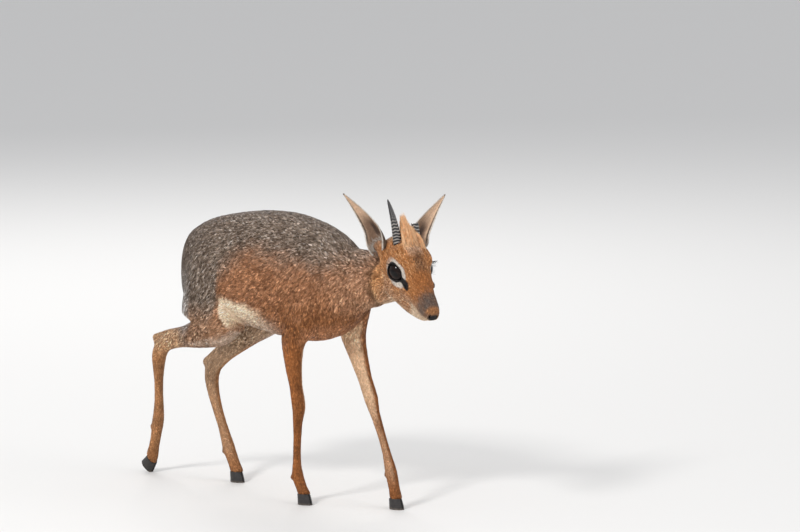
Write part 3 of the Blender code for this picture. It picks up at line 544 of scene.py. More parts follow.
# How the coat lies: a place, the way its hairs point, how far round it this counts, the depth
# of the coat over the skin, and the tufts' length, lift and number, with sizes in millimetres
BODY_LIE = (
    (-148, 0, 305, -0.1, 0, -1, 30, 1, 6.9, 0.22, 1.5),
    (-135, 22, 345, -0.55, 0, -0.8, 30, 1.4, 6.9, 0.24, 1.5),
    (-95, 30, 378, -0.95, 0, -0.3, 32, 1.8, 6.9, 0.25, 1.4),
    (-40, 0, 402, -1, 0, 0.05, 34, 2, 6.9, 0.25, 1.4),
    (30, 0, 412, -1, 0, 0, 34, 2, 6.9, 0.25, 1.4),
    (110, 0, 407, -1, 0, 0.05, 34, 2, 6.9, 0.25, 1.4),
    (175, 0, 382, -0.9, 0, 0.4, 32, 2, 6.9, 0.24, 1.5),
    (-110, 45, 310, -0.35, 0, -0.94, 30, 1.4, 6.5, 0.22, 1.5),
    (-60, 58, 300, -0.55, 0, -0.84, 30, 1.4, 6.5, 0.22, 1.5),
    (-80, 55, 252, -0.75, 0, -0.66, 26, 0.9, 5.6, 0.18, 1.6),
    (-35, 50, 245, -0.8, 0, -0.6, 22, 0.9, 5.2, 0.13, 1.7),
    (-8, 34, 250, -0.92, 0, -0.35, 20, 0.9, 5.2, 0.12, 1.6),
    (-10, 60, 320, -0.85, 0, -0.5, 30, 2, 6.9, 0.24, 1.4),
    (50, 64, 320, -0.9, 0, -0.45, 32, 2, 6.9, 0.24, 1.4),
    (50, 48, 370, -0.98, 0, -0.2, 32, 2, 6.9, 0.25, 1.4),
    (120, 54, 320, -0.7, 0, -0.7, 30, 1.6, 6.5, 0.22, 1.5),
    (130, 46, 275, -0.25, 0, -0.97, 26, 1, 5.6, 0.2, 1.6),
    (10, 56, 272, -0.9, 0, -0.4, 24, 1.4, 6.9, 0.15, 1.6),
    (60, 52, 262, -0.8, 0, -0.6, 24, 2, 8.2, 0.22, 1.5),
    (20, 0, 240, -1, 0, 0.05, 26, 1.4, 6.9, 0.18, 1.3),
    (110, 0, 232, -1, 0, 0.05, 26, 1.4, 6.9, 0.18, 1.4),
    (-70, 0, 248, -1, 0, 0.1, 26, 0.9, 5.6, 0.16, 1.2),
    (195, 0, 285, -0.25, 0, -0.97, 26, 1.8, 6.9, 0.22, 1.5),
    (165, 20, 255, -0.35, 0, -0.93, 24, 1.6, 6.5, 0.22, 1.5),
    (215, 30, 335, -0.8, -0.1, -0.6, 26, 1.4, 6.5, 0.22, 1.6),
    (215, 10, 368, -0.95, -0.1, 0.2, 26, 1.4, 6.5, 0.24, 1.6),
    (225, 20, 300, -0.65, -0.1, -0.75, 24, 1.4, 6.5, 0.2, 1.6),
)
# Stops down each leg: a place, the depth of the coat, and the tufts' length and number
LEG_LIE = (
    ((109, -42, 225, 1.3, 5, 1.9), (112, -39, 170, 0.8, 3.6, 2.2), (112, -36, 120, 0.6, 3, 2.4),
     (108, -34, 60, 0.6, 3, 2.4), (116, -33, 22, 0.5, 2.8, 2.6)),
    ((153, 41, 225, 1.3, 5, 1.9), (178, 37, 172, 0.8, 3.6, 2.2), (203, 32, 120, 0.6, 3, 2.4),
     (228, 30, 62, 0.6, 3, 2.4), (240, 30, 22, 0.5, 2.8, 2.6)),
    ((-118, -43, 219, 1.3, 5, 1.9), (-160, -39, 196, 0.8, 3.4, 2.2), (-176, -31, 150, 0.6, 3, 2.4),
     (-196, -10, 95, 0.6, 3, 2.4), (-214, 0, 55, 0.6, 3, 2.4), (-224, 3, 26, 0.5, 2.8, 2.6)),
    ((-60, 45, 222, 1.6, 5, 1.9), (-98, 44, 193, 1, 4.4, 2.1), (-135, 42, 158, 0.8, 3.4, 2.2),
     (-123, 38, 104, 0.6, 3, 2.4), (-100, 34, 56, 0.6, 3, 2.4), (-78, 31, 22, 0.5, 2.8, 2.6)),
)
LEG_REACH, LEG_LIFT = 16, 0.13
HEAD_LIE = (
    (88, 0, -14, -0.9, 0, 0.45, 9, 0.15, 1.6, 0.12, 3.6),
    (78, 10, -20, -1, 0.1, 0.2, 10, 0.2, 1.8, 0.12, 3.6),
    (70, 6, -2, -1, 0, 0.3, 11, 0.3, 2, 0.14, 3.4),
    (50, 0, 4, -0.95, 0, 0.4, 13, 0.4, 2.6, 0.15, 3),
    (30, 0, 14, -0.9, 0, 0.5, 14, 0.6, 3, 0.16, 2.8),
    (10, 0, 26, -0.9, 0, 0.5, 14, 0.9, 4, 0.2, 2.6),
    (-12, 0, 34, -0.95, 0, 0.32, 14, 1, 5, 0.24, 2.4),
    (-40, 0, 31, -1, 0, 0.05, 14, 1.2, 5.5, 0.24, 2.2),
    (45, 15, -14, -1, 0.15, 0.15, 12, 0.4, 2.4, 0.13, 3.2),
    (20, 22, -16, -1, 0.15, -0.1, 12, 0.6, 2.8, 0.14, 3),
    (18, 18, 10, -0.95, 0.15, 0.35, 9, 0.5, 2.6, 0.14, 3.2),
    (-4, 26, 22, -0.95, 0.2, 0.25, 9, 0.5, 3, 0.16, 3),
    (-22, 30, 2, -1, 0.1, -0.2, 9, 0.6, 3, 0.15, 3),
    (2, 28, -20, -0.9, 0.1, -0.45, 10, 0.6, 3.2, 0.15, 2.8),
    (-20, 26, -34, -0.85, 0.1, -0.55, 14, 1, 4, 0.18, 2.4),
    (30, 12, -44, -1, 0, -0.2, 12, 0.6, 3, 0.15, 2.8),
    (58, 6, -40, -1, 0, -0.15, 10, 0.4, 2.2, 0.14, 3.2),
    (-45, 28, 0, -0.9, 0.2, 0.1, 13, 1, 4.4, 0.2, 2.3),
    (-52, 24, 20, -0.75, 0.4, 0.5, 10, 0.8, 4.4, 0.2, 2.4),
    (-60, 33, 4, -0.8, 0.5, 0.25, 8, 0.2, 6.4, 0.34, 2.8),
)


def both_sides(table):
    """The place, way and sizes of each row, on one side of the middle and on the other."""
    for row in table:
        place, way = np.array(row[:3]) / 1000, np.array(row[3:6])
        reach, depth, length, lift, number = row[6:]
        for side in ((1,) if place[1] == 0 else (-1, 1)):
            yield (mirrored(place, side), mirrored(way, side),
                   (reach / 1000, depth / 1000, length / 1000, lift, number))


def lie_rows():
    """Every place of the coat, both sides, as plain arrays in the part's own frame."""
    rows = [(*(place + BODY_AT), *way, *sizes) for place, way, sizes in both_sides(BODY_LIE)]
    for stops in LEG_LIE:
        leg = np.array(stops)
        places = leg[:, :3] / 1000
        for place, way, (depth, length, number) in zip(
                places, unit(np.gradient(places, axis=0)), leg[:, 3:]):
            rows.append((*(place + BODY_AT), *way, LEG_REACH / 1000, depth / 1000, length / 1000,
                         LEG_LIFT, number))
    rows += [(*from_head(place), *(way @ HEAD_TURN), *sizes)
             for place, way, sizes in both_sides(HEAD_LIE)]
    return np.array(rows)


LIE = lie_rows()


def lie_of(points):
    """The way, depth, length, lift and number of the coat at each point."""
    result = np.empty((len(points), 7))
    for start in range(0, len(points), 40000):
        part = points[start:start + 40000]
        gap = ((part[:, None, :] - LIE[None, :, :3]) ** 2).sum(2) / LIE[None, :, 6] ** 2
        weight = 1.0 / (gap + 0.02) ** 3
        weight /= weight.sum(1, keepdims=True)
        result[start:start + 40000, :3] = weight @ LIE[:, 3:6]
        result[start:start + 40000, 3:] = weight @ LIE[:, 7:]
    result[:, :3] = unit(result[:, :3])
    return result


# Skin


SKULL_TOP = (
    (-0.080, 0.002), (-0.074, 0.004), (-0.069, 0.014), (-0.060, 0.0225), (-0.046, 0.0285),
    (-0.032, 0.0325), (-0.018, 0.0345), (-0.004, 0.0325), (0.010, 0.0258), (0.025, 0.0175),
)
SKULL_HALF = 0.0300
SKULL_BASE = -0.004


def almond(side, steps=64):
    """The middle of an eye, the way it faces and the outline of its opening round it."""
    axis, ahead, up = lid_frame(side)
    turn = np.linspace(0, 2 * np.pi, steps, endpoint=False)
    c, s = np.cos(turn), np.sin(turn)
    height = LID_HEIGHT / 2 * s * (1 - 0.34 * np.abs(c) ** 3)
    outline = ahead[None] * (LID_LENGTH / 2 * c)[:, None] + up[None] * height[:, None]
    return mirrored(EYE_AT, side), axis, outline


def skull_top(local):
    """The height of the brow's skin under its tuft, at places in the head's frame."""
    top = np.interp(local[:, 0], *np.array(SKULL_TOP).T)
    rise = np.clip(1 - (np.abs(local[:, 1]) / SKULL_HALF) ** 2.5, 0, 1) ** 0.4
    return SKULL_BASE + (top - SKULL_BASE) * rise


def make_skin():
    """One smooth skin over all the flesh, set in by the depth of the coat."""
    mesh = bmesh.new()
    for node in FLESH:
        mesh.from_mesh(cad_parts[node].data)
    bmesh.ops.remove_doubles(mesh, verts=mesh.verts[:], dist=1e-6)
    mesh.normal_update()
    for vertex in mesh.verts:
        vertex.co += vertex.normal * 0.0004
    data = bpy.data.meshes.new("skin")
    mesh.to_mesh(data)
    mesh.free()
    skin = placed("skin", data)
    points = points_of(skin)
    local = to_head(points)
    top = skull_top(local)
    tuft = ((local[:, 0] > -0.095) & (local[:, 0] < 0.020) & (np.abs(local[:, 1]) < 0.0235)
            & (local[:, 2] > top + 0.0004))
    local[tuft, 2] = top[tuft] - 0.0004
    points[tuft] = from_head(local[tuft])
    set_points(skin, points)
    fills = [skin]
    for side in (-1, 1):
        radius = EYE_RADIUS + LID_THICKNESS
        fills.append(ball("lid_ball", mirrored(EYE_AT, side), (radius,) * 3))
        fills.append(ball("gland_fill", mirrored(GLAND_FILL_AT, side), GLAND_FILL_RADII))
    bpy.ops.object.select_all(action="DESELECT")
    for thing in fills:
        thing.select_set(True)
    bpy.context.view_layer.objects.active = skin
    bpy.ops.object.join()
    modify(skin, "REMESH", mode="VOXEL", voxel_size=SKIN_VOXEL)
    modify(skin, "SMOOTH", factor=0.5, iterations=7)
    keep_outside(skin)
    points, normals = points_of(skin), normals_of(skin)
    share = head_share(points)
    # The band behind the jaw is set deeper here as a groove; coat_colour darkens the same band as painted
    # shadow.
    jaw_crease_and_shadow = (4 * share * (1 - share)) ** 2 * smooth(0.012, -0.004, to_head(points)[:, 2])
    depth = lie_of(points)[:, 3] + 0.0016 * jaw_crease_and_shadow
    for side in (-1, 1):
        eye = from_head(mirrored(EYE_AT, side))
        gap = np.linalg.norm(points - eye, axis=1)
        depth = depth * smooth(0.017, 0.024, gap)
    set_points(skin, points - normals * depth[:, None])
    faces = sum(len(p.vertices) - 2 for p in skin.data.polygons)
    modify(skin, "DECIMATE", ratio=SKIN_TRIANGLES / faces, use_collapse_triangulate=True)
    tools = []
    for side in (-1, 1):
        eye, axis, outline = almond(side)
        rings = [from_head(eye + axis * (EYE_RADIUS * depth) + outline * spread)
                 for depth, spread in LID_DEPTHS]
        tools.append(loft("lid_cut", rings))
        tools.append(ball("socket", eye, (EYE_RADIUS + SOCKET_GAP,) * 3, 64, 40))
        tools.append(ball("gland_pit", mirrored(GLAND_PIT_AT, side), GLAND_PIT_RADII))
        tools.append(nostril_tool(side))
    tools.append(mouth_tool())
    cut(skin, tools)
    keep_outside(skin)
    return skin


def nostril_tool(side):
    """A curved slit that opens forward and down at each side of the nose."""
    rings = []
    for share, width, height in ((0.0, 0.3, 0.35), (0.3, 0.8, 0.85), (0.65, 1.0, 1.0),
                                 (1.0, 1.1, 1.15)):
        centre = np.array((0.0800 + 0.0115 * share, side * (0.0038 + 0.0022 * share),
                           -0.0200 - 0.0008 * share))
        turn = np.linspace(0, 2 * np.pi, 20, endpoint=False)
        bend = 0.0009 * np.cos(turn * 2)
        rings.append(from_head(np.stack((
            np.full(20, centre[0]),
            centre[1] + side * (0.0015 * width * np.cos(turn) + bend * width),
            centre[2] + 0.0033 * height * np.sin(turn),
        ), 1)))
    return loft("nostril", rings)


def mouth_tool():
    """A thin wedge between the lips, deepest at the front and closing to nothing at the corners."""
    line = ((0.0415, -0.0352, 0.00012), (0.0480, -0.0346, 0.0004), (0.0560, -0.0336, 0.0005),
            (0.0640, -0.0322, 0.0005), (0.0720, -0.0308, 0.0006), (0.0860, -0.0296, 0.0010))
    rings = []
    for a, u, half in line:
        rings.append(from_head([(a, -0.030, u - half), (a, 0.030, u - half), (a, 0.030, u + half),
                                (a, -0.030, u + half)]))
    return loft("mouth", rings)


def keep_outside(thing):
    """Drops whatever is not the largest surface of the mesh."""
    edit(thing, (bpy.ops.mesh.separate, {"type": "LOOSE"}))
    loose = list(bpy.context.selected_objects)
    thing.data = max(loose, key=lambda piece: len(piece.data.vertices)).data
    for piece in loose:
        if piece is not thing:
            bpy.data.objects.remove(piece)


def unwrap(thing):
    """Lays the skin's own shape out flat as the map that the coat's tufts share."""
    edit(thing, (bpy.ops.uv.smart_project, {"angle_limit": math.radians(72),
                                            "island_margin": 0.002}))
    thing.data.uv_layers[0].name = "OFBake"


# Tufts


def surface_of(thing):
    """Points, point normals, triangles and corner places on the map, for sowing tufts."""
    thing.data.calc_loop_triangles()
    count = len(thing.data.loop_triangles)
    triangles = np.empty(count * 3, dtype=np.int32)
    thing.data.loop_triangles.foreach_get("vertices", triangles)
    loops = np.empty(count * 3, dtype=np.int32)
    thing.data.loop_triangles.foreach_get("loops", loops)
    uv = np.empty(len(thing.data.loops) * 2)
    thing.data.uv_layers["OFBake"].data.foreach_get("uv", uv)
    return (points_of(thing), normals_of(thing), triangles.reshape(-1, 3),
            uv.reshape(-1, 2)[loops].reshape(-1, 3, 2))


def sow(surface, density, count, draw):
    """Roots spread over a surface by the density of each of its triangles."""
    points, normals, triangles, uv = surface
    corners = points[triangles]
    area = np.linalg.norm(np.cross(corners[:, 1] - corners[:, 0], corners[:, 2] - corners[:, 0]),
                          axis=1) / 2
    weight = area * density
    chosen = draw.choice(len(triangles), size=count, p=weight / weight.sum())
    r = np.sqrt(draw.random(count))
    s = draw.random(count)
    share = np.stack((1 - r, r * (1 - s), r * s), 1)[:, :, None]
    roots = (corners[chosen] * share).sum(1)
    out = unit((normals[triangles[chosen]] * share).sum(1))
    return roots, out, (uv[chosen] * share).sum(1), chosen


def clumps(roots, way, size):
    """The clump of hair that each root belongs to, and the way from the root to its middle."""
    draw = np.random.default_rng(77)
    shifts = draw.random((CLUMP_KINDS, 3))
    cell = np.floor(roots / size).astype(np.int64)
    nearest = np.full(len(roots), np.inf)
    kind = np.zeros(len(roots), dtype=np.int64)
    toward = np.zeros_like(roots)
    for step in np.ndindex(3, 3, 3):
        here = cell + np.array(step) - 1
        number = (here @ np.array((73856093, 19349663, 83492791))) % CLUMP_KINDS
        gap = (here + shifts[number]) * size - roots
        along = (gap * way).sum(1)
        reach = (gap ** 2).sum(1) - 0.86 * along ** 2
        closer = reach < nearest
        nearest[closer] = reach[closer]
        kind[closer] = number[closer]
        toward[closer] = gap[closer]
    return kind, toward


def grow(name, roots, out, way, uv, length, width, lift, curl, colours, finish, draw, tilt=0.0):
    """Flat tapered tufts of two triangles each, as one mesh, with colours from root to tip."""
    count = len(roots)
    way = unit(way - out * (way * out).sum(1, keepdims=True))
    side = np.cross(out, way)
    length, width, lift = length[:, None], width[:, None], lift[:, None]
    sway = side * (draw.normal(0, 0.14, (count, 1)) * length)
    middle = roots + way * length * 0.42 + out * length * (lift * 0.62) + sway * 0.35
    tip = roots + way * length + out * length * lift * (1 - curl) + sway
    points = np.stack((roots - out * ROOT_SINK, middle - side * width / 2, middle + side * width / 2,
                       tip), 1)
    pattern = np.array(((0, 1, 2), (1, 3, 2)))
    faces = (np.arange(count)[:, None, None] * 4 + pattern[None]).reshape(-1, 3)
    spread = np.array(((0, -.5), (-.5, 0), (.5, 0), (0, .5))) * BAKE_PATCH
    corner_uv = (uv[:, None, :] + spread[None])[:, pattern.ravel()]
    thing = object_from(name, points.reshape(-1, 3), faces, corner_uv.reshape(-1, 2))
    facing = out + side * draw.normal(0, 0.22, (count, 1)) + way * draw.normal(0.06, 0.16, (count, 1))
    facing = unit(facing + tilt)
    thing.data.normals_split_custom_set_from_vertices(np.repeat(facing, 4, axis=0))
    # Hairs of one colour get a darker root, painted shade deep in the coat, and a slightly paler tip.
    if colours.ndim == 2:
        colours = colours[:, None, :] * np.array((0.62, 1.0, 1.10))[None, :, None]
    paint(thing, colours[:, (0, 1, 1, 2)].reshape(-1, 3))
    thing.data.materials.append(finish)
    return thing


def tuft_colours(roots, out, kind, draw):
    """The markings at each root, banded pale and dark along the hair where the coat is grizzled, with a
    darker root as painted shade deep in the coat.
    """
    colour = coat_colour(roots, out)
    count = len(roots)
    grizzle = grizzle_share(roots)[:, None, None]
    of_clump = np.random.default_rng(78).random(CLUMP_KINDS)[kind]
    draws = (0.6 * of_clump + 0.4 * draw.random(count))[:, None]
    # Grizzled hairs are banded root, middle and tip; their dark roots are partly the hair's own base and
    # partly painted shade deep in the coat.
    bands = np.where(draws < 0.40, np.array((0.34, 0.34, 0.50)),
                     np.where(draws < 0.68, np.array((0.40, 0.75, 1.45)),
                              np.array((0.50, 1.80, 1.50))))[:, :, None]
    # Plain hair is darker at the root, as painted shade deep in the coat, and a little paler at the tip.
    plain = np.array((0.66, 1.0, 1.10))[None, :, None]
    factor = plain + (bands - plain) * grizzle
    shade = np.random.default_rng(79).normal(0, 1, CLUMP_KINDS).clip(-1.7, 1.7)[kind][:, None, None]
    strong = (0.27 + 0.23 * grizzle) * (1 - 0.78 * smooth(0.30, 0.62, colour[:, 1]))[:, None, None]
    factor = factor * np.exp(strong * shade + draw.normal(0, 0.16, (count, 1, 1)))
    warm = draw.normal(0, 0.05, (count, 1))
    colour = colour * np.concatenate((1 + warm, np.ones((count, 1)), 1 - warm), 1)
    return colour[:, None, :] * factor ** np.array((0.90, 1.0, 1.10))


def make_coat(surface):
    """The short tufts of the whole coat, in pieces that each stay small enough."""
    points, _, triangles, _ = surface
    middles = points[triangles].mean(1)
    density = lie_of(middles)[:, 6]
    for side in (-1, 1):
        along, across, depth = eye_gap(to_head(middles), side)
        inside = (np.hypot(along, across) < 1.02) & (depth > 0.003)
        density[inside] = 0.0
        inner = np.linalg.norm(middles - from_head(mirrored(EYE_AT, side)), axis=1)
        density[inner < EYE_RADIUS + 0.0008] = 0.0
        root = from_head(mirrored(HORN_ROOT, side))
        density[np.linalg.norm(middles - root, axis=1) < 0.0058] = 0.0
        pit = from_head(mirrored(GLAND_AT, side))
        density[np.linalg.norm(middles - pit, axis=1) < 0.0034] = 0.0
    local = to_head(middles)
    density[pad_gap(local) < 0.98] = 0.0
    slit = (local[:, 0] > 0.042) & (np.abs(local[:, 2] + 0.0330 - 0.10 * (local[:, 0] - 0.056)) < 0.0016)
    density[slit] *= 0.4
    draw = np.random.default_rng(7)
    roots, out, places, chosen = sow(surface, density, BODY_TUFTS, draw)
    pieces = []
    for number, start in enumerate(range(0, BODY_TUFTS, TUFTS_IN_PIECE)):
        part = slice(start, start + TUFTS_IN_PIECE)
        here, outward = roots[part], out[part]
        lie = lie_of(here)
        count = len(here)
        kind, toward = np.zeros(count, dtype=np.int64), np.zeros((count, 3))
        size = np.digitize(lie[:, 4], CLUMP_LENGTHS)
        for step, cell in enumerate(CLUMP_SIZES):
            mine = size == step
            kind[mine], toward[mine] = clumps(here[mine], lie[mine, :3], cell)
        bend = CLUMP_BENDS[kind]
        way = (lie[:, :3] + draw.normal(0, 0.09, (count, 3)) + 0.13 * bend + 0.16 * unit(toward)
               + 0.10 * np.stack((wobble(here, 90.0), wobble(here, 80.0, 2.0),
                                  wobble(here, 85.0, 4.0)), 1))
        length = lie[:, 4] * draw.uniform(0.70, 1.15, count)
        width = np.clip(lie[:, 4] * 0.118, 0.00036, 0.00080) * draw.uniform(0.8, 1.2, count)
        lift = lie[:, 5] * draw.uniform(0.45, 0.85, count) * (1 + 0.30 * bend[:, 0]).clip(0.4, 1.6)
        colours = tuft_colours(here, outward, kind, draw)
        pieces.append(grow(f"coat_{number + 1}", here, outward, way, places[part], length, width,
                           lift, 0.45, colours, FUR_FINISH, draw, 0.20 * bend))
    return pieces


# Ears


def ear_sheet(side, rows=46, columns=34):
    """The curved middle of an ear as a grid, with its outward side and its places."""
    root, tip, facing = (np.array(v) for v in EARS[side])
    along = unit(tip - root)
    length = np.linalg.norm(tip - root)
    opening = unit(facing - along * facing.dot(along))
    across = np.cross(along, opening)
    share = np.linspace(0, 1, rows + 1)
    swell = np.where(share > 0.20, 1.0 - (np.maximum(share - 0.20, 0) / 0.80) ** 1.15,
                     0.78 + 0.22 * np.sin(np.pi / 2 * np.minimum(share / 0.20, 1)))
    half = EAR_HALF_WIDTH * swell + 0.0006
    roll = np.radians(60 + 70 * np.maximum(0.0, 1 - share / 0.34) ** 1.4)
    radius = half / np.sin(np.minimum(roll, np.pi / 2))
    centre = (root + along * (length * (-0.085 + 1.085 * share))[:, None]
              + opening * (radius * 0.5 - 0.0065 * np.sin(np.pi * share))[:, None])
    j = np.linspace(-1, 1, columns + 1)
    turn = roll[:, None] * j[None]
    spot = across * np.sin(turn)[..., None] - opening * np.cos(turn)[..., None]
    ridges = 0.00045 * np.sin(j * 9.0 + 0.6)[None] * np.sin(np.pi * share)[:, None]
    ridges = ridges * smooth(0.95, 0.6, np.abs(j))[None]
    grid = centre[:, None] + spot * (radius[:, None] - ridges)[..., None]
    return grid, spot, share, j, along, opening


# The hairs of an ear: their number, length, width, lift and curl, how far they lean to its
# middle, and their colour where it isn't the ear's own
EAR_HAIRS = {
    "hair": (14000, 0.0026, 0.00050, 0.10, 0.3, 0.0, None),
    "down": (12000, 0.0020, 0.00036, 0.10, 0.2, 0.0, None),
    # The rim hairs are white: partly white hair, partly a painted highlight along the edge.
    "rim": (6000, 0.0019, 0.00034, 0.06, 0.3, 0.0, WHITE_HAIR * 0.95),
    "tuft": (420, 0.0050, 0.00038, 0.30, 0.3, 0.5, WHITE_HAIR * 0.75),
}


def make_ear(side):
    """A thin cupped ear with ridges inside, its rim, its markings and its own short hair."""
    grid, spot, share, j, along, opening = ear_sheet(side)
    rows, columns = grid.shape[0] - 1, grid.shape[1] - 1
    inner = grid - spot * EAR_THICKNESS / 2
    outer = grid + spot * EAR_THICKNESS / 2
    size = (rows + 1) * (columns + 1)
    points = np.concatenate((inner.reshape(-1, 3), outer.reshape(-1, 3)))
    index = np.arange(size).reshape(rows + 1, columns + 1)
    quads = np.stack((index[:-1, :-1], index[1:, :-1], index[1:, 1:], index[:-1, 1:]), -1)
    faces = [quads.reshape(-1, 4), quads.reshape(-1, 4)[:, ::-1] + size]
    edge = np.concatenate((index[0, :], index[1:, -1], index[-1, -2::-1], index[-2:0:-1, 0]))
    following = np.roll(edge, -1)
    faces.append(np.stack((edge, following, following + size, edge + size), 1))
    faces = np.concatenate(faces)[:, ::-1]
    t = np.repeat(share, columns + 1)
    k = np.tile(j, rows + 1)
    grain = wobble(np.stack((k * 9, t * 2.5, k * 0), 1), 1.0)
    within = np.tile(EAR_PALE, (size, 1)) * (1 + 0.12 * grain)[:, None]
    hollow = smooth(0.66, 0.38, t + 0.08 * grain) * smooth(0.95, 0.45, np.abs(k + 0.1))
    within = mix(within, EAR_HOLLOW, hollow * 0.88)
    deep = smooth(0.12, 0.22, t) * smooth(0.50, 0.32, t) * smooth(0.45, 0.1, np.abs(k - 0.1))
    within = mix(within, EAR_DEEP, deep * smooth(-0.3, 0.5, grain) * 0.8)
    within = mix(within, EAR_TIP, smooth(0.965, 0.985, t) * 0.9)
    within = mix(within, EAR_LINE, smooth(0.72, 0.82, np.abs(k) + 0.03 * grain)
                 * smooth(0.96, 0.91, np.abs(k)) * smooth(0.06, 0.22, t) * 0.9)
    within = mix(within, WHITE_HAIR * 0.7, smooth(0.11, 0.06, t) * (0.5 + 0.4 * grain).clip(0, 1))
    # A white edge inside the ear: partly white hair, partly a painted highlight where light catches the
    # rim.
    within = mix(within, WHITE_HAIR, smooth(0.91, 0.96, np.abs(k)) * smooth(0.99, 0.95, t) * 0.9)
    without = np.tile(EAR_BACK, (size, 1))
    # A white edge on the back of the ear: partly white hair, partly a painted highlight along the rim.
    without = mix(without, WHITE_HAIR * 0.9, smooth(0.93, 0.99, np.abs(k)) * 0.9)
    without = mix(without, EAR_BACK_TIP, smooth(0.86, 0.97, t) * 0.85)
    uv_grid = np.stack((0.06 + 0.4 * (k + 1) / 2, 0.05 + 0.9 * t), 1)
    uv_points = np.concatenate((uv_grid, uv_grid + np.array((0.47, 0.0))))
    word = SIDE_WORDS[side]
    ear = object_from("ear_skin_" + word, from_head(points), faces, uv_points[faces].reshape(-1, 2))
    paints = np.concatenate((within, without))
    paint(ear, paints)
    ear.data.materials.append(SKIN_FINISH)
    draw = np.random.default_rng(20 + side)
    surface = surface_of(ear)
    triangles = surface[2]
    tt, kk = t[triangles % size].mean(1), k[triangles % size].mean(1)
    is_outer, is_inner = triangles.min(1) >= size, triangles.max(1) < size
    edge_share = np.abs(kk)
    spread = {
        "hair": is_outer * smooth(0.96, 0.78, edge_share),
        "down": is_inner * 1.0,
        "rim": (edge_share > 0.90) * 1.0,
        "tuft": (is_inner & (tt > 0.02)) * smooth(0.17, 0.06, tt),
    }
    middle = from_head(grid[:, columns // 2].mean(0))
    pieces = []
    for kind, (count, length, width, lift, curl, toward, colour) in EAR_HAIRS.items():
        roots, out, places, chosen = sow(surface, spread[kind], count, draw)
        way = along @ HEAD_TURN + unit(middle - roots) * toward + draw.normal(0, 0.16, (count, 3))
        way = unit(way - out * np.sum(way * out, axis=1, keepdims=True))
        base = paints[triangles[chosen, 0]] if colour is None else np.tile(colour, (count, 1))
        base = base * draw.normal(1.0, 0.16, (count, 1)).clip(0.5, 1.6)
        lengths = length * draw.uniform(0.6, 1.2, count) * (1.02 - 0.45 * smooth(0.7, 1.0, tt[chosen]))
        pieces.append(grow(f"ear_{kind}_{word}", roots, out, way, places, lengths,
                           np.full(count, width), np.full(count, lift), curl, base, FUR_FINISH, draw))
    return ear, pieces


# Strands: long hairs of several spans, for the brow tuft and the lashes


def places_on(surface, roots):
    """Where on the skin's map the roots of hairs outside it belong."""
    points, _, triangles, uv = surface
    middles = points[triangles].mean(1)
    centre = roots.mean(0)
    reach = np.linalg.norm(roots - centre, axis=1).max() + 0.004
    near = np.nonzero(np.linalg.norm(middles - centre, axis=1) < reach)[0]
    places = np.empty((len(roots), 2))
    for start in range(0, len(roots), 400):
        gap = ((roots[start:start + 400, None] - middles[near][None]) ** 2).sum(2)
        places[start:start + 400] = uv[near[gap.argmin(1)]].mean(1)
    return places


def strands(name, starts, lines, widths, colours, finish, surface, tip_shade=0.6):
    """Tapered ribbons along given lines, each an array of points from root to tip."""
    count, spans = lines.shape[:2]
    along = np.gradient(lines, axis=1)
    across = unit(np.cross(along, starts[:, None, :]))
    taper = np.array([1.0 - (i / (spans - 1)) ** 1.6 for i in range(spans)])[None, :, None] + 0.06
    offset = across * widths[:, None, None] * taper / 2
    points = np.stack((lines - offset, lines + offset), 2).reshape(count, spans * 2, 3)
    pattern = []
    for i in range(spans - 1):
        pattern += [(2 * i, 2 * i + 1, 2 * i + 3), (2 * i, 2 * i + 3, 2 * i + 2)]
    pattern = np.array(pattern)
    faces = (np.arange(count)[:, None, None] * spans * 2 + pattern[None]).reshape(-1, 3)
    patch = np.array([(edge, i / (spans - 1) - 0.5) for i in range(spans) for edge in (-0.5, 0.5)])
    uv = places_on(surface, lines[:, 0])[:, None] + patch[None] * BAKE_PATCH
    uv = uv[:, pattern.ravel()].reshape(-1, 2)
    thing = object_from(name, points.reshape(-1, 3), faces, uv)
    # Darker at the root, as painted shade where the strands leave the skin, and scaled towards the tip by
    # tip_shade.
    shade = np.linspace(0.85, 1.0, spans) * np.linspace(1.0, tip_shade, spans) ** 0.5
    full = colours[:, None, None, :] * shade[None, :, None, None] * np.ones((1, 1, 2, 1))
    paint(thing, full.reshape(-1, 3))
    thing.data.materials.append(finish)
    return thing


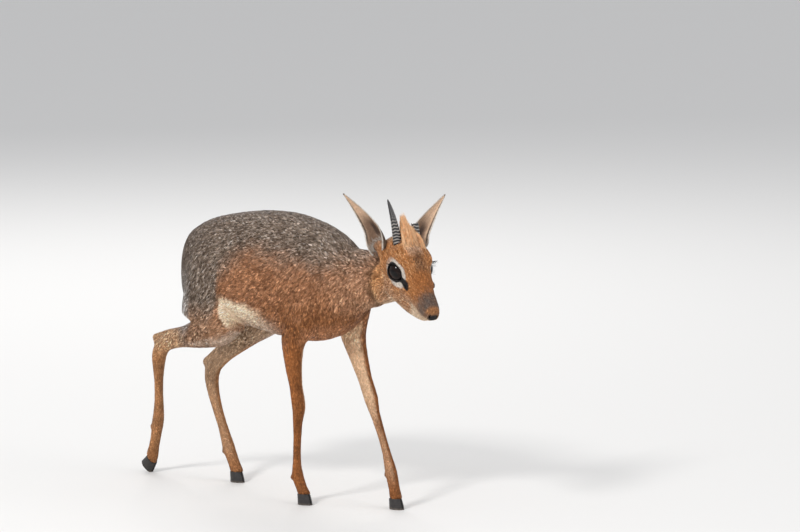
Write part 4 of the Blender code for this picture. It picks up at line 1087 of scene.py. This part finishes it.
def make_crest(surface):
    """The brow's tuft: hair that rises from the forehead and meets between the horns."""
    draw = np.random.default_rng(31)
    count = CREST_STRANDS
    row = draw.random(count) ** 0.9
    side = draw.uniform(-1, 1, count)
    reach_out = np.where(side < 0, 0.0150, 0.0205)
    root = np.stack((-0.004 - 0.039 * row, side * reach_out * (1 - 0.5 * row), np.zeros(count)), 1)
    root[:, 2] = skull_top(root) - CREST_SINK
    clump = (np.floor(row * 10) * 8 + np.floor((side + 1) * 3.99)).astype(int)
    pull = np.random.default_rng(32).normal(0, 1, (CREST_CLUMPS, 3))[clump]
    tip = np.stack((-0.024 - 0.043 * row, side * reach_out * (0.84 - 0.70 * row),
                    0.0395 + 0.0190 * row - 0.0034 * np.abs(side)), 1)
    tip = tip + pull * np.array((0.0022, 0.0014, 0.0014)) + draw.normal(0, 0.0009, (count, 3))
    reach = draw.uniform(0.5, 1.0, count) * (0.22 + 0.78 * smooth(0.0, 0.38, row))
    tip = root + (tip - root) * reach[:, None]
    fringe = draw.random(count) < 0.26
    root[fringe, 0] = draw.uniform(-0.030, -0.008, fringe.sum())
    root[fringe, 1] = draw.uniform(0.0125, 0.0212, fringe.sum())
    root[fringe, 2] = (skull_top(root) - CREST_SINK)[fringe]
    sweep = np.stack((draw.normal(-0.0150, 0.0012, count), -0.16 * root[:, 1],
                      draw.normal(0.0135, 0.0012, count)), 1)
    tip[fringe] = (root + sweep * draw.uniform(0.55, 1.0, (count, 1)))[fringe]
    share = np.linspace(0, 1, 5)[None, :, None]
    lift = np.array((0, 0, 1.0)) * np.linalg.norm(tip - root, axis=1)[:, None, None] * 0.10
    lines = root[:, None] + (tip - root)[:, None] * share + lift * np.sin(np.pi * share)
    shade = 0.5 * draw.random(count) + 0.5 * np.random.default_rng(33).random(CREST_CLUMPS)[clump]
    colours = np.tile(HEAD_ORANGE * (1.60, 1.75, 1.90), (count, 1))
    # Rows near the forehead take the brow's pink, painted highlight and all.
    colours = mix(colours, BROW_PINK_AND_HIGHLIGHT, smooth(0.45, 0.10, row) * draw.random(count))
    colours = mix(colours, GOLD * (1.0, 1.08, 1.2), smooth(0.30, 0.60, shade + 0.15 * row))
    colours = mix(colours, BROW_BROWN * 1.6, smooth(0.20, 0.10, shade))
    outward = np.tile(UP, (count, 1)) + LEFT * side[:, None] * 0.5 + draw.normal(0, 0.25, (count, 3))
    return strands("crest", unit(outward), from_head(lines), draw.uniform(0.0003, 0.0006, count),
                   colours, FUR_FINISH, surface, 0.95)


def make_lashes(side, surface):
    """Long dark lashes along the upper lid."""
    steps = 64
    eye, axis, outline = almond(side, steps)
    draw = np.random.default_rng(50 + side)
    lines, outs = [], []
    radius = EYE_RADIUS + LASH_RISE
    up = UP @ HEAD_TURN.T
    back = np.array((-1.0, 0.0, 0.0))
    share = np.linspace(0, 1, 5)[:, None]
    for k, o in enumerate(outline):
        turn = 2 * math.pi * k / steps
        if math.sin(turn) > 0.1 and math.cos(turn) < 0.75:
            root = eye + o + axis * math.sqrt(max(radius ** 2 - o.dot(o), 0))
            reach = LASH_LENGTH * draw.uniform(0.7, 1.1)
            first = unit(axis * 1.1 + unit(o) * 0.35 + draw.normal(0, 0.08, 3))
            second = unit(axis * 0.9 + unit(o) * 0.25 + back * 0.45 - up * 0.10
                          + draw.normal(0, 0.08, 3))
            lines.append(root + first * reach * share * (1 - 0.45 * share)
                         + second * reach * 0.55 * share ** 2)
            outs.append(unit(np.cross(first, up)) @ HEAD_TURN)
    count = len(lines)
    return strands("lashes_" + SIDE_WORDS[side], np.array(outs), from_head(np.array(lines)),
                   np.full(count, LASH_WIDTH), np.tile(BLACK_SKIN, (count, 1)), LID_FINISH,
                   surface)


# Eyes, horns and hooves


def make_eye(side):
    """A dark wet eye, with a long pupil in a brown iris."""
    axis = unit(mirrored(EYE_AXIS, side))
    eye = ball("eyeball_" + SIDE_WORDS[side], mirrored(EYE_AT, side), (EYE_RADIUS,) * 3, 96, 56)
    local = unit(to_head(points_of(eye)) - mirrored(EYE_AT, side))
    facing = local @ axis
    level = local - facing[:, None] * axis
    tilt = np.array((math.cos(LID_TILT * 0.6), 0, -math.sin(LID_TILT * 0.6)))
    along = level @ unit(tilt - axis * tilt.dot(axis))
    rise = np.sqrt(np.maximum((level ** 2).sum(1) - along ** 2, 0))
    pupil = np.hypot(along / 0.42, rise / 0.22)
    reach = np.sqrt((level ** 2).sum(1))
    ring = 0.5 + 0.5 * np.sin(np.arctan2(rise, along) * 40)
    colours = np.tile((0.013, 0.0045, 0.0024), (len(local), 1))
    colours = mix(colours, (0.007, 0.0028, 0.002), ring * 0.5)
    colours = mix(colours, (0.003, 0.002, 0.002), smooth(1.25, 0.95, pupil))
    colours = mix(colours, (0.004, 0.003, 0.003), smooth(0.62, 0.74, reach))
    paint(eye, colours)
    eye.data.materials.append(EYE_FINISH)
    return eye


def make_lid_rim(side):
    """The bare black edge of the lids, a soft roll round the whole opening."""
    steps, sides = 72, 10
    eye, axis, outline = almond(side, steps)
    radius = EYE_RADIUS + LID_RIM_RISE
    path = [eye + o * 1.01 + axis * math.sqrt(max(radius ** 2 - o.dot(o) * 1.02, 0)) for o in outline]
    path = np.array(path)
    along = unit(np.roll(path, -1, 0) - np.roll(path, 1, 0))
    outward = unit(path - eye)
    across = np.cross(along, outward)
    turn = np.linspace(0, 2 * np.pi, sides, endpoint=False)
    tube = (path[:, None] + outward[:, None] * np.cos(turn)[None, :, None] * LID_RIM_THICKNESS * 0.8
            + across[:, None] * np.sin(turn)[None, :, None] * LID_RIM_THICKNESS)
    index = np.arange(steps * sides).reshape(steps, sides)
    faces = np.stack((index, np.roll(index, -1, 0), np.roll(np.roll(index, -1, 0), -1, 1),
                      np.roll(index, -1, 1)), -1).reshape(-1, 4)
    rim = object_from("lid_rim_" + SIDE_WORDS[side], from_head(tube.reshape(-1, 3)), faces)
    edit(rim, (bpy.ops.mesh.normals_make_consistent, {"inside": False}))
    paint(rim, np.tile(BLACK_SKIN, (index.size, 1)))
    rim.data.materials.append(LID_FINISH)
    return rim


def make_horn(side):
    """A horn with worn rings at its foot, or the ringed stump that is left of one."""
    root, tip = mirrored(HORN_ROOT, side), mirrored(HORN_TIP, side)
    full = np.linalg.norm(tip - root)
    axis = (tip - root) / full
    across = unit(np.cross((0, 1, 0), axis))
    other = np.cross(axis, across)
    length = full if side < 0 else STUMP_LENGTH
    marks = np.linspace(-0.005, length, 150 if side < 0 else 80)
    turn = np.linspace(0, 2 * np.pi, HORN_SIDES, endpoint=False)
    rings, colours = [], []
    for mark in marks:
        share = max(mark, 0.0) / full
        radius = HORN_RADIUS * (1 - share) ** 0.58 + 0.0005
        wave = np.sin(2 * np.pi * (mark / RING_PITCH) + 0.9 * np.sin(turn * 2 + 0.7)
                      + 0.7 * np.sin(turn + mark * 160) + 0.5 * np.sin(turn * 5 + mark * 90))
        fade = smooth(0.040, 0.020, np.array([mark]))[0]
        ridge = fade * (0.075 * np.maximum(wave, -0.5)) - 0.02 * fade
        profile = radius * (1 + ridge) * (1 + 0.004 * np.sin(turn * 13 + mark * 500))
        centre = root + axis * mark + across * 0.0035 * math.sin(math.pi * share)
        rings.append(centre + across * (profile * np.cos(turn))[:, None]
                     + other * (profile * 0.92 * np.sin(turn))[:, None])
        base = np.tile((0.040, 0.036, 0.035), (HORN_SIDES, 1)) * (1 - 0.4 * share)
        base = mix(base, (0.42, 0.38, 0.34), fade * smooth(0.30, 0.90, wave) * 0.85)
        base = mix(base, (0.008, 0.007, 0.007), fade * smooth(0.0, -0.7, wave) * 0.85)
        # Painted highlight: a pale grey line along one side of the smooth upper horn, where light catches
        # its front ridge.
        base = mix(base, (0.16, 0.15, 0.145), (1 - fade) * smooth(0.5, 0.95, np.cos(turn - 0.6)) * 0.6)
        colours.append(base)
    if side > 0:
        jag = 0.0011 * np.sin(turn * 3 + 0.5) + 0.0007 * np.sin(turn * 7)
        for back, push in ((1, 1.0), (2, 0.7), (3, 0.4)):
            rings[-back] = rings[-back] + axis * (jag * push)[:, None]
        rings.append((rings[-1] - (root + axis * length)) * 0.45 + root + axis * (length - 0.0010))
        colours.append(np.tile((0.22, 0.19, 0.16), (HORN_SIDES, 1)))
    else:
        rings.append((rings[-1] - tip) * 0.3 + tip + axis * 0.0004)
        colours.append(colours[-1])
    horn = loft("ringed_horn_" + SIDE_WORDS[side], from_head(np.array(rings)))
    paint(horn, np.concatenate(colours))
    horn.data.materials.append(HORN_FINISH)
    return horn


def make_hoof(node):
    """A claw of a hoof with softened edges, dark and a little dusty at its foot."""
    hoof = placed(node.replace("hoof", "claw"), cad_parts[node].data.copy())
    hoof.data.materials.clear()
    edit(hoof, (bpy.ops.mesh.remove_doubles, {"threshold": 0.00001}),
         (bpy.ops.mesh.tris_convert_to_quads, {"face_threshold": math.radians(20),
                                               "shape_threshold": math.radians(60)}),
         (bpy.ops.mesh.normals_make_consistent, {"inside": False}))
    modify(hoof, "BEVEL", width=0.0007, segments=2, limit_method="ANGLE", angle_limit=math.radians(35))
    modify(hoof, "SUBSURF", levels=2, render_levels=2)
    modify(hoof, "TRIANGULATE")
    hoof.data.shade_smooth()
    z = points_of(hoof)[:, 2]
    rings = 0.5 + 0.5 * np.sin(z * 2600)
    colours = np.tile((0.022, 0.019, 0.018), (len(z), 1))
    colours = mix(colours, (0.055, 0.047, 0.042), rings * 0.35)
    colours = mix(colours, (0.150, 0.120, 0.095), smooth(0.0035, 0.0, z) * 0.7)
    paint(hoof, colours)
    hoof.data.materials.append(HOOF_FINISH)
    return hoof


# The part


def wear(piece, slot, *nodes):
    """Fixes a piece to the part's root, in place of the nodes that it stands for; its slot is not used."""
    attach(piece, "root")
    if nodes:
        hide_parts(*nodes)


def dress():
    skin = make_skin()
    unwrap(skin)
    # The skin is painted at 0.8 of the coat's colour: painted shade where it shows between the tufts.
    paint(skin, coat_colour(points_of(skin), normals_of(skin)) * 0.80)
    skin.data.materials.clear()
    skin.data.materials.append(SKIN_FINISH)
    skin.data.shade_smooth()
    wear(skin, "coat_red", *FLESH)
    surface = surface_of(skin)
    for piece in make_coat(surface):
        wear(piece, "coat_red")
    for side, word in SIDE_WORDS.items():
        ear, hairs = make_ear(side)
        wear(ear, "coat_ear", "ear_" + word)
        for piece in hairs:
            wear(piece, "coat_ear")
        wear(make_eye(side), "eye", "eye_" + word)
        wear(make_horn(side), "horn", "horn_" + word)
        wear(make_lid_rim(side), "eye")
        wear(make_lashes(side, surface), "eye")
    wear(make_crest(surface), "coat_red")
    for node in list(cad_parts):
        if node.startswith("hoof"):
            wear(make_hoof(node), "hoof", node)


def make_stage():
    """A pale floor, soft studio light and the camera at the photograph's angle."""
    bpy.ops.mesh.primitive_plane_add(size=16.0, location=(0, 0, 0))
    floor = bpy.context.object
    floor.name = "floor"
    material, nodes, links, shader = new_finish("pale_floor", 0.85, 0.2)
    shader.inputs["Base Color"].default_value = (0.78, 0.765, 0.74, 1.0)
    floor.data.materials.append(material)
    world = bpy.data.worlds.new("studio")
    bpy.context.scene.world = world
    world.use_nodes = True
    sky = world.node_tree.nodes["Background"]
    sky.inputs["Color"].default_value = (0.86, 0.88, 0.92, 1.0)
    sky.inputs["Strength"].default_value = 0.75
    for name, place, size, power in (
        ("key", (0.25, -2.9, 2.6), 0.65, 64.0),
        ("fill", (3.0, 0.8, 1.6), 2.2, 26.0),
        ("rim", (-2.2, 1.6, 2.4), 1.6, 40.0),
    ):
        data = bpy.data.lights.new(name, "AREA")
        data.size = size
        data.energy = power
        lamp = placed(name, data)
        lamp.location = place
        aim = Vector((0.0, 0.0, 0.25)) - Vector(place)
        lamp.rotation_euler = aim.to_track_quat("-Z", "Y").to_euler()
    azimuth, elevation, distance = math.radians(43.0), math.radians(8.0), 8.0
    back = np.array((math.sin(azimuth) * math.cos(elevation),
                     -math.cos(azimuth) * math.cos(elevation), math.sin(elevation)))
    right = np.array((math.cos(azimuth), math.sin(azimuth), 0.0))
    up = np.cross(back, right)
    data = bpy.data.cameras.new("camera")
    camera = placed("camera", data)
    place = CAMERA_AT + BODY_AT
    turn = Matrix(np.stack((right, up, back), 1).tolist()).to_4x4()
    camera.matrix_world = Matrix.Translation(Vector(place)) @ turn
    data.sensor_width = 36.0
    data.lens = 252.0
    data.clip_end = 60.0
    bpy.context.scene.camera = camera
    bpy.context.scene.view_settings.view_transform = "Standard"


dress()
make_stage()
bpy.context.view_layer.update()
